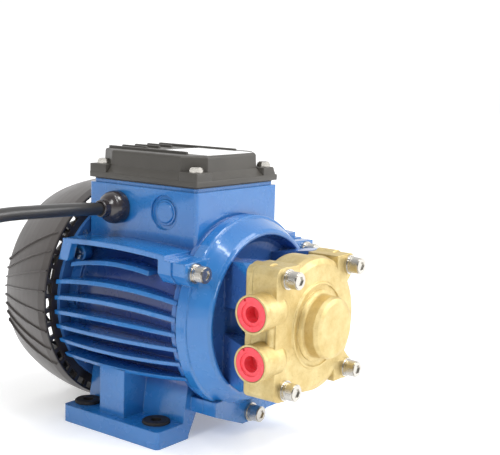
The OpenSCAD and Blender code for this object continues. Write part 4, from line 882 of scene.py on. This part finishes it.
# Pump casing and back plate
# Sand cast brass, shot blasted to a fine grain: the casing with its two ports and round dome,
# and the plate behind it that carries the shaft seal.
cast_brass = finish("cast_brass", (0.72, 0.57, 0.27), rough=0.5, metal=1.0)
brass_patch = ramp(cast_brass, noise(cast_brass, size_mm=9, detail=5), low=0.35, high=0.65)
brass_pores = noise(cast_brass, size_mm=0.9, detail=4, rough=0.7)
brass_pit = ramp(cast_brass, brass_pores, low=0.58, high=0.78)
brass_skin = mixed(cast_brass, brass_patch, (0.6, 0.465, 0.21), (0.7, 0.575, 0.295))
paint(cast_brass, mixed(cast_brass, brass_pit, brass_skin, (0.4, 0.29, 0.12)))
uneven_gloss(cast_brass, patch_mm=2.5, least=0.42, most=0.58)
relief(cast_brass, [
    dict(size_mm=5, detail=3, depth_mm=0.3),
    dict(size_mm=1.1, detail=4, rough=0.65, depth_mm=0.22),
    dict(size_mm=0.35, detail=2, depth_mm=0.04),
], edge_mm=0.9)
dress(cast_brass, "pump_casing", "pump_back_plate")

# Screws and washers
# Socket head screws of bright plated steel with fine straight knurling round their heads, each
# over a split spring washer and a flat washer. The lid's pan-head screws and the small earth
# screw are plated the same.
head_r = 5.0
knurl_teeth = 56
knurl_out = 0.045
knurl_sink = 0.02
knurl_from = 0.9
knurl_to = 5.2
screw_half = 32.5
tie_ring_r = 64.5
tie_angles = (30, 150, 270)
casing_head_y = -122.2
tie_head_y = -73.2
bright_plate = finish("bright_plate", (0.55, 0.53, 0.49), rough=0.16, metal=1.0)
uneven_gloss(bright_plate, patch_mm=2.5, least=0.18, most=0.26)
relief(bright_plate, [dict(size_mm=2.5, depth_mm=0.01)])
dress(bright_plate, "casing_screws", "casing_flat_washers", "casing_spring_washers", "tie_screws",
      "tie_flat_washers", "tie_spring_washers", "lid_screws", "earth_screw")
heads = [(sx * screw_half, casing_head_y, sz * screw_half) for sx in (-1, 1) for sz in (-1, 1)]
for angle in tie_angles:
    turn = math.radians(angle)
    heads.append((tie_ring_r * math.cos(turn), tie_head_y, tie_ring_r * math.sin(turn)))


def knurl_ring(x, y, z):
    ring = []
    for k, (across, up) in enumerate(circle(2 * knurl_teeth)):
        out = head_r + (knurl_out if k % 2 else -knurl_sink)
        ring.append(((x + out * across) * mm, y * mm, (shaft_z + z + out * up) * mm))
    return ring


knurls = bmesh.new()
for x, y, z in heads:
    skin(knurls, [knurl_ring(x, y + along, z) for along in (knurl_from, knurl_to)])
screw_knurls = piece_from(knurls, "screw_knurls", bright_plate, smooth=False)
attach(screw_knurls, "pump")

# Transport plugs
# Soft red plastic caps pushed into the two ports, each with a stepped recess. They are pulled
# out when the hoses are fitted.
cap_softness = 0.3
cap_depth = 2.0 * mm
cap_glow = (1.0, 0.2, 0.2)
cap_red = finish("cap_red", (0.85, 0.075, 0.1), rough=0.28)
shader_of(cap_red).inputs["Subsurface Weight"].default_value = cap_softness
shader_of(cap_red).inputs["Subsurface Scale"].default_value = cap_depth
shader_of(cap_red).inputs["Subsurface Radius"].default_value = cap_glow
uneven_gloss(cap_red, patch_mm=4, least=0.24, most=0.36)
relief(cap_red, [dict(size_mm=2, depth_mm=0.02)], edge_mm=0.3)
dress(cap_red, "port_plug_upper", "port_plug_lower")
